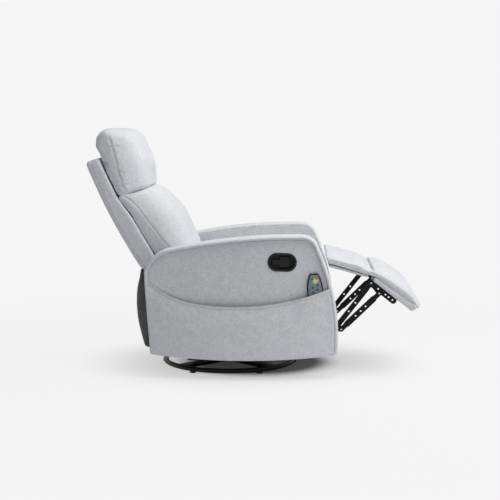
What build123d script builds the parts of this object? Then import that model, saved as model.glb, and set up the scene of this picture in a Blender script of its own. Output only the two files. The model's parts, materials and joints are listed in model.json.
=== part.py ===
"""Swivel glider recliner, shown reclined with its footrest out.

+X is the front of the chair, +Z is up and -Y is the sitter's right side.
The origin is on the floor, on the swivel axis.  All sizes are in millimetres.
Outlines are drawn in the XZ plane, as the chair is seen from its right side.
"""
from build123d import *
from math import atan2, cos, degrees, hypot, radians, sin
import os

# ---------------------------------------------------------------- widths, from the middle of the chair
arm_inner = 265.0             # inner face of each arm
arm_thickness = 110.0         # of an arm at its widest
pocket_bulge = 20.0           # pocket cloth proud of the arm's rim
seat_arm_gap = 3.0            # seat cushion to each arm
back_arm_gap = 7.0            # back shell to each arm
cushion_arm_gap = 15.0        # back cushions, footrest and rear flap to each arm
arm_spacer_length = 33.5      # steel side plate to each arm

# ---------------------------------------------------------------- swivel base
ring_radius = 291.0           # outside of the floor ring
ring_tube = 21.0
floor_glide_height = 5.0
floor_glide_radius = 13.0
floor_glide_count = 6
spider_arm_width = 38.0
spider_arm_height = 16.0
hub_plate_radius = 95.0
hub_plate_thickness = 4.0
race_radius = 66.0            # pitch circle of the bearing balls
race_width = 24.0
race_thickness = 6.0
race_gap = 3.0                # between the two races
ball_radius = 4.0
ball_count = 10
groove_clearance = 0.05
king_bolt_radius = 8.0
king_bolt_head = 6.0
bolt_clearance = 0.05

# ---------------------------------------------------------------- glider
swivel_plate_side = 210.0
swivel_plate_thickness = 4.0
beam_width = 30.0
beam_height = 25.0
beam_spacing = 150.0          # between the middles of the long beams
glide_pivot_x = 150.0
glide_upper_z = 215.0
glide_link_length = 110.0
glide_link_width = 26.0
glide_link_thickness = 4.0
glide_pin_radius = 6.0
pin_clearance = 0.05
pin_head = 2.0
pin_head_radius = 10.0
washer_thickness = 2.0
stand_thickness = 4.0
stand_lug_radius = 18.0

# ---------------------------------------------------------------- chassis
side_plate_thickness = 3.0
side_window_length = 90.0     # slots that lighten the side plates
side_window_height = 42.0
side_window_places = ((-125.0, 255.0), (130.0, 255.0))
side_lug_radius = 19.0
cross_rail = 25.0             # square tubes under the seat
front_rail_x = 228.0
rear_rail_x = -178.0
seat_base_z = 389.0           # underside of the seat cushion
seat_frame_height = 35.0
seat_frame_wall = 28.0
seat_frame_front = 345.0
seat_frame_rear = -110.0
seat_side_gap = 4.0           # wooden seat frame to side plates
spring_wire = 3.5
spring_count = 4
spring_waves = 5
arm_bolt_radius = 4.0
arm_bolt_grip = 15.0          # bolt's length in the wooden rail
arm_spacer_radius = 10.0
arm_bolt_places = ((-215.0, 330.0), (-215.0, 170.0), (45.0, 330.0), (45.0, 170.0))

# ---------------------------------------------------------------- footrest linkage (X, Z)
calf_hinge = (400.0, 497.0)
foot_hinge = (608.0, 440.0)
swing_pivot = (275.0, 400.0)
lower_link_chassis = (480.0, 188.0)
lower_link_foot = (636.0, 340.0)
upper_link_chassis = (450.0, 187.0)
upper_link_foot = (602.0, 384.0)
footrest_fold = 74.0          # calf rest travel, degrees
link_thickness = 3.0
link_gap = 2.0
link_width = 20.0             # at the ends, round the rivets
lower_link_waist = 26.0       # between the ends
upper_link_waist = 22.0
link_neck = 34.0              # from each rivet to where the bar widens
link_hole_radius = 3.5
rivet_radius = 4.0
rivet_head_radius = 7.0
rivet_head = 0.8
bracket_width = 26.0
bracket_ear_width = 18.0
bracket_length = 131.0
bracket_holes = (38.0, 77.0, 93.5, 113.5)

# ---------------------------------------------------------------- footrest cushions
calf_thickness = 38.0
calf_board = 10.0
calf_seam_gap = 10.0          # from the seat seam to the calf cushion
calf_mitre = 0.8              # run of the calf cushion's rear face per unit of depth
footrest_side_crown = 6.0     # cushions thin towards their sides
calf_fall = 45.0              # width over which each side falls away
board_inset = 3.0             # calf board narrower than its cushion, each side
foot_piping = ((617.0, 408.0), (789.0, 286.0))    # ends of the seam over the foot board
foot_under = ((610.0, 392.5), (757.0, 277.0))     # ends of its underside
foot_lip = ((783.0, 267.0), (793.0, 278.0))       # round front of the board
foot_crown = (700.0, 372.0)
foot_tip = (790.0, 315.0)
foot_brow = (764.0, 345.0)
foot_fall = 50.0

# ---------------------------------------------------------------- arms
arm_bow_radius = 2615.0       # plan radius of the outer side
arm_bow_x = 65.0
rim_width = 16.0
panel_inset = 13.0            # upper side panel below the rim
pocket_bow_radius = 1526.0
pocket_skin = 3.0
pocket_floor = 180.0          # height of the pocket's bottom
pocket_front_seam = 11.0
arm_rail = 30.0               # wooden rails inside the arm
arm_rail_depth = 26.0
arm_rail_offset = 14.0        # arm's inner face to the rails
arm_rail_margin = 34.0        # arm's outline to the rails

# ---------------------------------------------------------------- release handle
bezel_x = 235.0
bezel_z = 482.0
bezel_length = 119.0
bezel_height = 76.0
bezel_tilt = -2.0             # degrees, nose down
bezel_lip = 9.0
bezel_proud = 3.0
cup_depth = 25.0
cup_wall = 2.5
paddle_thickness = 8.0
paddle_grip = 40.0            # along the chair
paddle_height = 45.0
paddle_stem = 18.0
paddle_hinge_offset = 44.0    # hinge pin behind the middle of the bezel
paddle_pin_radius = 2.5

# ---------------------------------------------------------------- remote control
remote_x = 368.5              # the middle of the remote
remote_z = 361.0
remote_tilt = 5.0             # degrees, its top to the rear
remote_length = 150.0
remote_width = 65.0
remote_head = 34.0            # width of its top edge
remote_shoulder = 62.0        # from the top edge down to the full width
remote_thickness = 13.0
remote_clearance = 0.4
remote_ledge = 45.0           # half length of the stitched ledge below the remote
remote_border = 5.0
remote_softening = 4.0        # of the outline's corners
remote_edge_round = 1.5
remote_overlay = 1.0
remote_key_radius = 4.0
remote_key_height = 1.6
remote_key_gap = 0.3

# ---------------------------------------------------------------- back
back_hinge = (-250.0, 412.0)
back_hinge_clear = 27.0       # round room in the upholstery for the hinge
back_bracket_gap = 2.5
back_bracket = 4.0
back_edge_round = 14.0
back_rear = ((-358.0, 446.0), (-486.0, 666.0), (-583.0, 881.0))   # low end, middle and top
back_corner = 14.0
back_front = ((-529.0, 899.0), (-453.0, 739.0), (-396.0, 661.0), (-293.0, 486.0))
back_rail = 40.0              # wooden rails inside the back
back_rail_depth = 22.0
back_rail_inset = 26.0        # from each side of the back
back_rail_ends = ((-352.0, 472.0), (-540.0, 866.0))
back_bracket_knee = (-333.0, 470.0)
back_bracket_top = (-392.0, 600.0)
recline_pin_radius = 6.0

# Sections of the two back cushions, at their sides, near them and in the middle (X, Z).
pillow_foot = (-447.0, 741.0)
pillow_side = ((-539.0, 934.0), (-506.0, 1012.0), (-469.0, 958.0), (-416.0, 767.0), 4.0, 5.0)
pillow_near = ((-548.0, 975.0), (-478.0, 1021.0), (-385.0, 974.0), (-340.0, 780.0), 12.0, 10.0)
pillow_middle = ((-551.0, 985.0), (-470.0, 1025.0), (-372.0, 978.0), (-327.0, 782.0), 13.0, 11.0)
pillow_fall = 62.0            # width over which each side of the pillow falls away
lumbar_head = (-440.0, 737.0)
lumbar_rear = (-272.0, 452.0)
lumbar_side = ((-414.0, 728.0), (-224.0, 520.0), (-236.0, 452.0), 6.0)
lumbar_near = ((-335.0, 766.0), (-140.0, 525.0), (-180.0, 452.0), 17.0)
lumbar_middle = ((-318.0, 772.0), (-126.0, 527.0), (-170.0, 452.0), 18.0)
lumbar_fall = 60.0

# ---------------------------------------------------------------- seat cushion
seat_rear = -138.0
seat_fall = 55.0
seat_crown = (160.0, 482.0)
seat_heel = (424.0, 444.0)    # heights where the rear face turns over
seat_undercut = (356.0, 459.0)

# ---------------------------------------------------------------- rear flap
flap_thickness = 3.0
flap_top = (-361.0, 400.0)
flap_bulge = ((-373.0, 325.0), (-359.0, 187.0))
flap_knee = (-341.0, 115.0)
rear_rail_back = -297.0
rear_rail_base = 97.0
rear_rail_depth = 27.0
rear_rail_height = 40.0


def outline(start, *steps):
    """A closed flat face: a point gives a straight side, (via, end) gives an arc."""
    edges, here = [], start
    for step in steps:
        if isinstance(step[0], tuple):
            via, end = step
            edges.append(ThreePointArc(here, via, end))
        else:
            end = step
            edges.append(Line(here, end))
        here = end
    if here != start:
        edges.append(Line(here, start))
    return make_face(edges)


def slab(profile, y_low, y_high):
    """An XZ profile made solid between two Y planes."""
    return Pos(0, y_high, 0) * extrude(Plane.XZ * profile, amount=y_high - y_low)


def rod_y(place, radius, y_low, y_high):
    """A cylinder along Y through an (X, Z) place."""
    return slab(Pos(*place) * Circle(radius), y_low, y_high)


def box_between(low, high):
    """A box between two corners."""
    size = [b - a for a, b in zip(low, high)]
    middle = [(a + b) / 2 for a, b in zip(low, high)]
    return Pos(*middle) * Box(*size)


def along(start, end, distance, offset=0.0):
    """The point at a distance from start towards end, offset to the left of that line."""
    length = hypot(end[0] - start[0], end[1] - start[1])
    ux, uz = (end[0] - start[0]) / length, (end[1] - start[1]) / length
    return (start[0] + ux * distance - uz * offset, start[1] + uz * distance + ux * offset)


def distance(start, end):
    return hypot(end[0] - start[0], end[1] - start[1])


def strap(start, end, width):
    """A flat bar outline with round ends centred on two points."""
    middle = ((start[0] + end[0]) / 2, (start[1] + end[1]) / 2)
    angle = degrees(atan2(end[1] - start[1], end[0] - start[0]))
    return Pos(*middle) * Rot(0, 0, angle) * SlotCenterToCenter(distance(start, end), width)


def left_of(part):
    """The matching piece on the chair's left side."""
    return mirror(part, about=Plane.XZ)


def both(part):
    """A right-hand piece with its left-hand twin."""
    return Compound(children=[*part.solids(), *left_of(part).solids()])


def section(face, y):
    return Pos(0, y, 0) * (Plane.XZ * face)


side_plate_inner = arm_inner - arm_spacer_length - side_plate_thickness
arm_outer = arm_inner + arm_thickness
pocket_outer = arm_outer + pocket_bulge
back_half = arm_inner - back_arm_gap
cushion_half = arm_inner - cushion_arm_gap

# ================================================================ swivel base
tube = ring_tube / 2
ring_centre_radius = ring_radius - tube
ring_centre_z = floor_glide_height + tube
hub_plate_z = ring_centre_z + spider_arm_height / 2
lower_race_z = hub_plate_z + hub_plate_thickness
upper_race_z = lower_race_z + race_thickness + race_gap
swivel_plate_z = upper_race_z + race_thickness
beam_z = swivel_plate_z + swivel_plate_thickness
ball_z = (lower_race_z + race_thickness + upper_race_z) / 2


def base_ring():
    return Pos(0, 0, ring_centre_z) * Torus(ring_centre_radius, tube)


def base_spider(ring):
    """Two crossed tubes welded to the ring, with the plate that carries the bearing."""
    reach = 2 * ring_centre_radius
    cross = Box(reach, spider_arm_width, spider_arm_height)
    cross += Rot(0, 0, 90) * cross
    cross = Pos(0, 0, ring_centre_z) * cross
    cross += Pos(0, 0, hub_plate_z + hub_plate_thickness / 2) * Cylinder(
        hub_plate_radius, hub_plate_thickness)
    bolt_hole = Cylinder(king_bolt_radius, 4 * spider_arm_height)
    return Rot(0, 0, 45) * cross - ring - Pos(0, 0, ring_centre_z) * bolt_hole


def base_glides(ring):
    """Low feet under the ring, cut to sit against the tube."""
    foot = Cylinder(floor_glide_radius, floor_glide_height + tube / 2)
    foot = Pos(0, 0, (floor_glide_height + tube / 2) / 2) * foot
    places = PolarLocations(ring_centre_radius, floor_glide_count)
    return Compound(children=[s for place in places for s in (place * foot - ring).solids()])


def race(z_low):
    """One pressed bearing ring with a round groove for the balls."""
    ring = Pos(0, 0, z_low + race_thickness / 2) * (
        Cylinder(race_radius + race_width / 2, race_thickness)
        - Cylinder(race_radius - race_width / 2, race_thickness))
    return ring - Pos(0, 0, ball_z) * Torus(race_radius, ball_radius + groove_clearance)


def bearing_balls():
    ball = Pos(0, 0, ball_z) * Sphere(ball_radius)
    return Compound(children=[place * ball for place in PolarLocations(race_radius, ball_count)])


def king_bolt():
    """The bolt that holds the swivelling frame down, with its nut under the spider."""
    low = ring_centre_z - spider_arm_height / 2
    top = beam_z + washer_thickness
    shank = Cylinder(king_bolt_radius, top - low, align=(Align.CENTER, Align.CENTER, Align.MIN))
    head = extrude(RegularPolygon(king_bolt_radius * 1.6, 6), king_bolt_head)
    return Pos(0, 0, low) * shank + Pos(0, 0, top) * head


# ================================================================ glider
stand_outer = side_plate_inner - 2 * washer_thickness - glide_link_thickness - 8.5
stand_inner = stand_outer - stand_thickness
link_inner = stand_outer + washer_thickness
link_outer = link_inner + glide_link_thickness
glide_lower_z = glide_upper_z - glide_link_length
plate_outer = side_plate_inner + side_plate_thickness
glide_hole = glide_pin_radius + pin_clearance


def glider_frame():
    """A plate on the bearing, with two beams across the chair and two along it, welded up."""
    across = Box(beam_width, 2 * stand_inner, beam_height)
    long = Box(2 * glide_pivot_x, beam_width, beam_height)
    frame = Pos(glide_pivot_x, 0, 0) * across + Pos(-glide_pivot_x, 0, 0) * across
    frame += Pos(0, beam_spacing / 2, 0) * long + Pos(0, -beam_spacing / 2, 0) * long
    plate = Box(swivel_plate_side, swivel_plate_side, swivel_plate_thickness)
    plate -= Cylinder(king_bolt_radius + bolt_clearance, 2 * swivel_plate_thickness)
    return (Pos(0, 0, beam_z + beam_height / 2) * frame
            + Pos(0, 0, beam_z - swivel_plate_thickness / 2) * plate)


def glider_stand():
    """The right upright plate that the glide links hang from."""
    base_z = beam_z
    foot_half = glide_pivot_x + beam_width / 2
    lug = stand_lug_radius
    top = glide_upper_z + lug
    plate = outline((-foot_half, base_z), (foot_half, base_z), (glide_pivot_x + lug, glide_upper_z),
                    ((glide_pivot_x, top), (glide_pivot_x - lug, glide_upper_z)),
                    (glide_pivot_x - 2.2 * lug, glide_upper_z - 2 * lug),
                    (-glide_pivot_x + 2.2 * lug, glide_upper_z - 2 * lug),
                    (-glide_pivot_x + lug, glide_upper_z),
                    ((-glide_pivot_x, top), (-glide_pivot_x - lug, glide_upper_z)))
    window = RectangleRounded(1.2 * glide_pivot_x, 0.5 * glide_link_length, 12)
    plate -= Pos(0, base_z + 0.55 * glide_link_length) * window
    for x in (-glide_pivot_x, glide_pivot_x):
        plate -= Pos(x, glide_upper_z) * Circle(glide_pin_radius)
    return slab(plate, -stand_outer, -stand_inner)


def upper_pins():
    """Shoulder pins of the stands, front and rear."""
    pins = []
    for x in (-glide_pivot_x, glide_pivot_x):
        place = (x, glide_upper_z)
        pin = rod_y(place, glide_pin_radius, -link_outer - pin_head, -stand_inner + pin_head)
        pin += rod_y(place, pin_head_radius, -link_inner, -stand_outer)
        pin += rod_y(place, pin_head_radius, -link_outer - pin_head, -link_outer)
        pin += rod_y(place, pin_head_radius, -stand_inner, -stand_inner + pin_head)
        pins.append(pin)
    return Compound(children=pins)


def glide_link(x):
    """A hanging link, right side, at a pivot's X."""
    bar = strap((x, glide_upper_z), (x, glide_lower_z), glide_link_width)
    bar -= Pos(x, glide_upper_z) * Circle(glide_hole)
    bar -= Pos(x, glide_lower_z) * Circle(glide_hole)
    gap = 0.2
    return slab(bar, -link_outer + gap, -link_inner - gap)


def lower_pins():
    """Shoulder pins from the side plate to the hanging links."""
    pins = []
    for x in (-glide_pivot_x, glide_pivot_x):
        place = (x, glide_lower_z)
        pin = rod_y(place, glide_pin_radius, -plate_outer - pin_head, -link_inner + pin_head)
        pin += rod_y(place, pin_head_radius, -side_plate_inner, -link_outer)
        pin += rod_y(place, pin_head_radius, -plate_outer - pin_head, -plate_outer)
        pins.append(pin)
    return Compound(children=pins)


# ================================================================ chassis
def side_plate():
    """The right steel side of the mechanism."""
    lug = side_lug_radius
    hinge_x, hinge_z = back_hinge
    front_x, front_z = swing_pivot
    low = glide_lower_z - lug + 4
    plate = outline(
        (hinge_x - lug, hinge_z), ((hinge_x, hinge_z + lug), (hinge_x + lug, hinge_z)),
        (hinge_x + 2 * lug, front_z - lug), (front_x - 2 * lug, front_z - lug),
        (front_x - lug, front_z), ((front_x, front_z + lug - 4), (front_x + lug, front_z)),
        (front_x + lug, front_z - 3 * lug), (glide_pivot_x + lug, glide_lower_z + lug),
        (glide_pivot_x + lug, glide_lower_z), ((glide_pivot_x, low), (glide_pivot_x - lug, glide_lower_z)),
        (glide_pivot_x - 2 * lug, glide_lower_z + 2.5 * lug),
        (-glide_pivot_x + 2 * lug, glide_lower_z + 2.5 * lug),
        (-glide_pivot_x + lug, glide_lower_z),
        ((-glide_pivot_x, low), (-glide_pivot_x - lug, glide_lower_z)),
        (arm_bolt_places[0][0] - lug, arm_bolt_places[1][1] - lug))
    plate -= Pos(hinge_x, hinge_z) * Circle(recline_pin_radius)
    plate -= Pos(front_x, front_z) * Circle(rivet_radius)
    for x in (-glide_pivot_x, glide_pivot_x):
        plate -= Pos(x, glide_lower_z) * Circle(glide_pin_radius)
    for place in arm_bolt_places:
        plate -= Pos(*place) * Circle(arm_bolt_radius)
    for place in side_window_places:
        plate -= Pos(*place) * SlotOverall(side_window_length, side_window_height)
    return slab(plate, -plate_outer, -side_plate_inner)


def arm_spacers():
    """Tubes between the side plate and the right arm."""
    return Compound(children=[
        rod_y(p, arm_spacer_radius, -arm_inner, -plate_outer)
        - rod_y(p, arm_bolt_radius, -arm_inner, -plate_outer) for p in arm_bolt_places])


def arm_bolts():
    """Bolts through the side plate and spacers into the right arm's wooden rails."""
    reach = arm_inner + arm_rail_offset + arm_bolt_grip
    bolts = []
    for p in arm_bolt_places:
        bolts.append(rod_y(p, arm_bolt_radius, -reach, -side_plate_inner)
                     + rod_y(p, 1.8 * arm_bolt_radius, -side_plate_inner, -side_plate_inner + 3))
    return Compound(children=bolts)


def rail_under_seat(x):
    """A square tube between the side plates, under the seat frame."""
    top = seat_base_z - spring_wire - seat_frame_height
    tube_face = Rectangle(cross_rail, cross_rail) - Rectangle(cross_rail - 4, cross_rail - 4)
    return slab(Pos(x, top - cross_rail / 2) * tube_face, -side_plate_inner, side_plate_inner)


def seat_frame():
    """Four wooden rails round the seat springs."""
    half = side_plate_inner - seat_side_gap
    top = seat_base_z - spring_wire
    length = seat_frame_front - seat_frame_rear
    frame = Box(length, 2 * half, seat_frame_height)
    frame -= Box(length - 2 * seat_frame_wall, 2 * (half - seat_frame_wall), seat_frame_height)
    middle = (seat_frame_front + seat_frame_rear) / 2
    return Pos(middle, 0, top - seat_frame_height / 2) * frame


def seat_springs():
    """Zigzag springs that lie on the front and rear rails."""
    step = (seat_frame_front - seat_frame_rear - seat_frame_wall) / (2 * spring_waves)
    start = seat_frame_rear + seat_frame_wall / 2
    swing = 0.9 * step
    points = [(start + i * step, swing if i % 2 else -swing) for i in range(2 * spring_waves + 1)]
    wire = FilletPolyline(*points, radius=0.35 * step)
    flat = trace(wire, line_width=spring_wire)
    one = Pos(0, 0, seat_base_z - spring_wire) * extrude(flat, spring_wire)
    half = side_plate_inner - seat_side_gap - 2 * seat_frame_wall
    pitch = 2 * half / (spring_count - 1)
    return Compound(children=[Pos(0, -half + i * pitch, 0) * s
                              for i in range(spring_count) for s in one.solids()])


# ================================================================ footrest linkage
# Planes from the middle of the chair outwards: side plate, swing link, lower link, upper link.
swing_inner = plate_outer + pin_head + 0.5
swing_outer = swing_inner + link_thickness
lower_inner = swing_outer + link_gap
lower_outer = lower_inner + link_thickness
upper_inner = lower_outer + link_gap
upper_outer = upper_inner + link_thickness
bracket_inner = swing_inner
bracket_outer = swing_outer


def link_plate(start, end, waist, inner, outer, holes):
    """A punched steel bar, right side, wider between its ends, with a pivot hole at each."""
    bar = strap(start, end, link_width)
    bar += strap(along(start, end, link_neck), along(end, start, link_neck), waist)
    for place in (start, end):
        bar -= Pos(*place) * Circle(rivet_radius + pin_clearance)
    for step in holes:
        bar -= Pos(*along(start, end, step)) * Circle(link_hole_radius)
    return slab(bar, -outer, -inner)


def lower_link():
    """The lower bar, with the half rivet that stands at its chassis end."""
    bar = link_plate(lower_link_foot, lower_link_chassis, lower_link_waist,
                     lower_inner, lower_outer, (78.0, 106.0, 135.0))
    rivet = rod_y(lower_link_chassis, rivet_radius + pin_clearance, -lower_outer, -lower_inner)
    head = rod_y(lower_link_chassis, rivet_head_radius, -lower_outer - rivet_head, -lower_outer)
    return bar + rivet + head


def upper_link():
    bar = link_plate(upper_link_foot, upper_link_chassis, upper_link_waist,
                     upper_inner, upper_outer, (105.0, 150.0))
    rivet = rod_y(upper_link_chassis, rivet_radius + pin_clearance, -upper_outer, -upper_inner)
    head = rod_y(upper_link_chassis, rivet_head_radius, -upper_outer - rivet_head, -upper_outer)
    return bar + rivet + head


def swing_link():
    """The three-hole link that swings forward from the side plate."""
    bar = strap(swing_pivot, lower_link_chassis, link_width)
    bar += strap(upper_link_chassis, lower_link_chassis, link_width)
    bar += Polygon(upper_link_chassis, lower_link_chassis,
                   along(lower_link_chassis, swing_pivot, 60), align=None)
    bar -= Pos(*swing_pivot) * Circle(rivet_radius + pin_clearance)
    for step in (70.0, 120.0, 170.0):
        bar -= Pos(*along(swing_pivot, lower_link_chassis, step)) * Circle(link_hole_radius)
    return slab(bar, -swing_outer, -swing_inner)


def swing_rivet():
    """The rivet of the swing link, held in the right side plate."""
    return (rod_y(swing_pivot, rivet_radius, -swing_outer - rivet_head, -side_plate_inner)
            + rod_y(swing_pivot, rivet_head_radius, -swing_outer - rivet_head, -swing_outer)
            + rod_y(swing_pivot, rivet_head_radius, -side_plate_inner, -side_plate_inner + rivet_head)
            + rod_y(swing_pivot, rivet_head_radius, -swing_inner + 0.2, -plate_outer))


# ================================================================ footrest cushions
def calf_point(distance_along, depth):
    """A point of the calf rest: along its top from the hinge, and down from it."""
    return along(calf_hinge, foot_hinge, distance_along, -depth)


calf_length = distance(calf_hinge, foot_hinge)


def calf_end(depth):
    """How far from the seat seam the mitred calf rest starts at a depth."""
    return calf_seam_gap + calf_mitre * depth


def calf_profile(drop, crown):
    """The calf cushion's side outline, mitred at both ends."""
    deep = calf_thickness - calf_board
    return outline(
        calf_point(calf_end(drop), drop + 3), calf_point(calf_end(deep), deep),
        calf_point(calf_length - 8, deep), calf_point(calf_length - 3, drop + 6),
        (calf_point(calf_length / 2, drop - crown), calf_point(calf_end(drop), drop + 3)))


def calf_cushion():
    """The crowned cushion between the seat and the foot cushion."""
    full = cushion_half - calf_fall
    return loft([section(calf_profile(drop, crown), y) for y, drop, crown in (
        (-cushion_half, footrest_side_crown, 0.5), (-full, 1.5, 2.5), (0, 0.0, 3.5),
        (full, 1.5, 2.5), (cushion_half, footrest_side_crown, 0.5))])


def calf_board_panel():
    """The board under the calf cushion."""
    deep = calf_thickness - calf_board
    board = outline(calf_point(calf_end(deep), deep), calf_point(calf_length - 8, deep),
                    calf_point(calf_length - 12, calf_thickness),
                    calf_point(calf_end(calf_thickness), calf_thickness))
    half = cushion_half - board_inset
    return slab(board, -half, half)


def foot_profile(rise, tip):
    """The foot cushion's side outline: flat on its board, crowned above."""
    start, end = foot_piping
    top_start = (foot_hinge[0] + 5, foot_hinge[1] - 14 + rise * 0.35)
    crown = (foot_crown[0] + rise * 0.42, foot_crown[1] + rise)
    brow = (foot_brow[0] + rise * 0.4, foot_brow[1] + rise * 0.75)
    nose = (end[0] + 8 + tip, end[1] - 10 + tip * 0.35)
    return outline(start, end, (along(end, nose, distance(end, nose) / 2, -1.5), nose),
                   ((foot_tip[0] + rise * 0.25, foot_tip[1] + rise * 0.55), brow),
                   (crown, top_start))


def foot_cushion():
    full = cushion_half - foot_fall
    sections = [section(foot_profile(rise, tip), y) for y, rise, tip in (
        (-cushion_half, 18.0, 6.0), (-full, 50.0, 22.0), (0.0, 58.0, 28.0),
        (full, 50.0, 22.0), (cushion_half, 18.0, 6.0))]
    return loft(sections)


def foot_board_panel():
    """The upholstered board under the foot cushion."""
    start, end = foot_piping
    low_start, low_end = foot_under
    board = outline(start, low_start, low_end, foot_lip, end)
    return slab(board, -cushion_half, cushion_half)


def ottoman_bracket():
    """The right steel bracket under the foot board, with ears for both links."""
    low_start, low_end = foot_under

    def below(step, depth=-bracket_width / 2):
        return along(low_start, low_end, step, depth)

    root = below(8, -bracket_ear_width / 2)
    plate = strap(below(8), below(bracket_length - bracket_width / 2), bracket_width)
    plate += strap(root, lower_link_foot, bracket_ear_width)
    plate += strap(root, upper_link_foot, bracket_ear_width)
    plate += strap(upper_link_foot, lower_link_foot, bracket_ear_width)
    for place in (upper_link_foot, lower_link_foot):
        plate -= Pos(*place) * Circle(rivet_radius)
    for step in bracket_holes:
        plate -= Pos(*below(step)) * Circle(link_hole_radius)
    flange = outline(below(2, 0), below(bracket_length, 0), below(bracket_length, -3), below(2, -3))
    board = slab(outline(foot_piping[0], foot_under[0], foot_under[1], foot_piping[1]),
                 -cushion_half, cushion_half)
    bracket = slab(plate, -bracket_outer, -bracket_inner) + slab(flange, -bracket_outer, -bracket_inner + 26)
    return bracket - board


def ottoman_rivets():
    """The right bracket's rivets, one through each link."""
    rivets = []
    for place, outer in ((lower_link_foot, lower_outer), (upper_link_foot, upper_outer)):
        rivets.append(rod_y(place, rivet_radius, -outer - rivet_head, -bracket_inner)
                      + rod_y(place, rivet_head_radius, -outer - rivet_head, -outer)
                      + rod_y(place, rivet_head_radius, -bracket_inner, -bracket_inner + rivet_head))
    return Compound(children=rivets)


# ================================================================ arms
def arm_outline():
    """The arm's outline as the photograph's side view shows it."""
    return outline((-295.0, 96.0), ((-312.0, 260.0), (-328.0, 436.0)),
                   ((-297.0, 492.0), (-242.0, 529.0)),
                   ((3.0, 572.0), (318.0, 588.5)),
                   ((358.0, 574.0), (380.0, 542.0)),
                   ((443.0, 349.0), (463.0, 165.0)),
                   (460.0, 96.0))


def bowed_side(radius, outermost):
    """Everything inside the bowed right outer side."""
    height = 700
    return Pos(arm_bow_x, radius - outermost, height / 2 - 20) * Cylinder(radius, height)


pocket_edge = ((-326.0, 406.0), (-205.0, 327.0), (-40.0, 293.0), (200.0, 305.0), (459.0, 374.0))


def pocket_region():
    """The side below the pocket's top edge."""
    rear, fall, dip, rise, front = pocket_edge
    return outline((rear[0] - 60, rear[1] + 45), rear, (fall, dip), (rise, front),
                   (front[0] + 60, front[1] + 14),
                   (front[0] + 60, 60.0), (rear[0] - 60, 60.0))


remote_ledge_top = (remote_z - remote_length / 2 * cos(radians(remote_tilt))
                    - remote_width / 2 * sin(radians(remote_tilt)))


def lower_skirt():
    """The downward bulge of the side's lower edge."""
    return outline((-300.0, 96.0), ((65.0, 80.0), (458.0, 96.0)), (440.0, 110.0), (-280.0, 110.0))


def pocket_face():
    """The pocket's outline, short of the arm's front seam."""
    side = arm_outline() & (Pos(-pocket_front_seam, 0) * arm_outline())
    return (side + lower_skirt()) & pocket_region()


def arm(cutouts):
    """The right arm: padded rim, inset upper panel, filled behind the pocket's lower part."""
    body = arm_outline()
    bulge = bowed_side(pocket_bow_radius, pocket_outer - pocket_skin)
    panel = bowed_side(arm_bow_radius, arm_outer - panel_inset)
    shape = slab(body, -arm_outer, -arm_inner) & bowed_side(arm_bow_radius, arm_outer)
    inside_rim = offset(body, -rim_width, kind=Kind.INTERSECTION)
    shape -= slab(inside_rim, -arm_outer - 5, -arm_inner - 40) - panel
    filling = box_between((-600, -pocket_outer, 0), (600, -arm_inner - 50, pocket_floor))
    filling += box_between((remote_x - remote_ledge, -pocket_outer, 0),
                           (remote_x + remote_ledge, -arm_inner - 50, remote_ledge_top))
    shape += slab(body & pocket_face(), -pocket_outer, -arm_inner - 50) & bulge & filling
    shape -= slab(pocket_face(), -pocket_outer - 5, -arm_inner - 40) - bulge
    for room in cutouts:
        shape -= room
    return shape


def right_pocket():
    """The sewn pocket skin over the lower half of the arm's outer side."""
    skin = slab(pocket_face(), -pocket_outer - 5, -arm_inner - 20)
    return (skin & bowed_side(pocket_bow_radius, pocket_outer)
            ) - bowed_side(pocket_bow_radius, pocket_outer - pocket_skin)


def arm_rails():
    """Wooden rails and posts inside the right arm, before drilling."""
    inner = -arm_inner - arm_rail_offset
    outer = inner - arm_rail_depth
    outside = offset(arm_outline(), -arm_rail_margin, kind=Kind.INTERSECTION)
    inside = offset(arm_outline(), -arm_rail_margin - arm_rail, kind=Kind.INTERSECTION)
    frame = slab(outside - inside, outer, inner)
    body = slab(outside, outer, inner)
    for x in (arm_bolt_places[0][0], arm_bolt_places[2][0]):
        frame += box_between((x - arm_rail, outer, 100), (x + arm_rail, inner, 600)) & body
    return frame


def bolt_holes():
    """Holes for the right arm's bolts."""
    depth = arm_inner + arm_rail_offset + arm_bolt_grip
    return [rod_y(place, arm_bolt_radius, -depth, -arm_inner) for place in arm_bolt_places]


# ================================================================ release handle
def panel_depth(x):
    """How far out the upper side panel is at an X."""
    return arm_outer - panel_inset - (x - arm_bow_x) ** 2 / (2 * arm_bow_radius)


def side_plane(x, z, tilt=0.0):
    """The plane that lies on the right upper panel at (X, Z): x forwards, y up, z outwards."""
    yaw = atan2(x - arm_bow_x, arm_bow_radius)
    turn = radians(tilt)
    return Plane(origin=(x, -panel_depth(x), z),
                 x_dir=(cos(yaw) * cos(turn), sin(yaw) * cos(turn), sin(turn)),
                 z_dir=(sin(yaw), -cos(yaw), 0))


def raised(plane, sketch, low, high):
    """A sketch on a side plane made solid between two outward heights."""
    return extrude(plane.offset(low) * sketch, amount=high - low)


def outermost_face(plane, part):
    return part.faces().sort_by(Axis(plane.origin, plane.z_dir))[-1]


bezel_plane = side_plane(bezel_x, bezel_z, bezel_tilt)
cup_length = bezel_length - 2 * bezel_lip
cup_height = bezel_height - 2 * bezel_lip
cup_outside = SlotOverall(cup_length + 2 * cup_wall, cup_height + 2 * cup_wall)
paddle_mid = -0.45 * cup_depth
paddle_hinge = -paddle_hinge_offset + 6


def handle_room():
    """The hole in the arm that the handle's cup fits."""
    return raised(bezel_plane, cup_outside, -cup_depth - cup_wall, 30)


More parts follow.
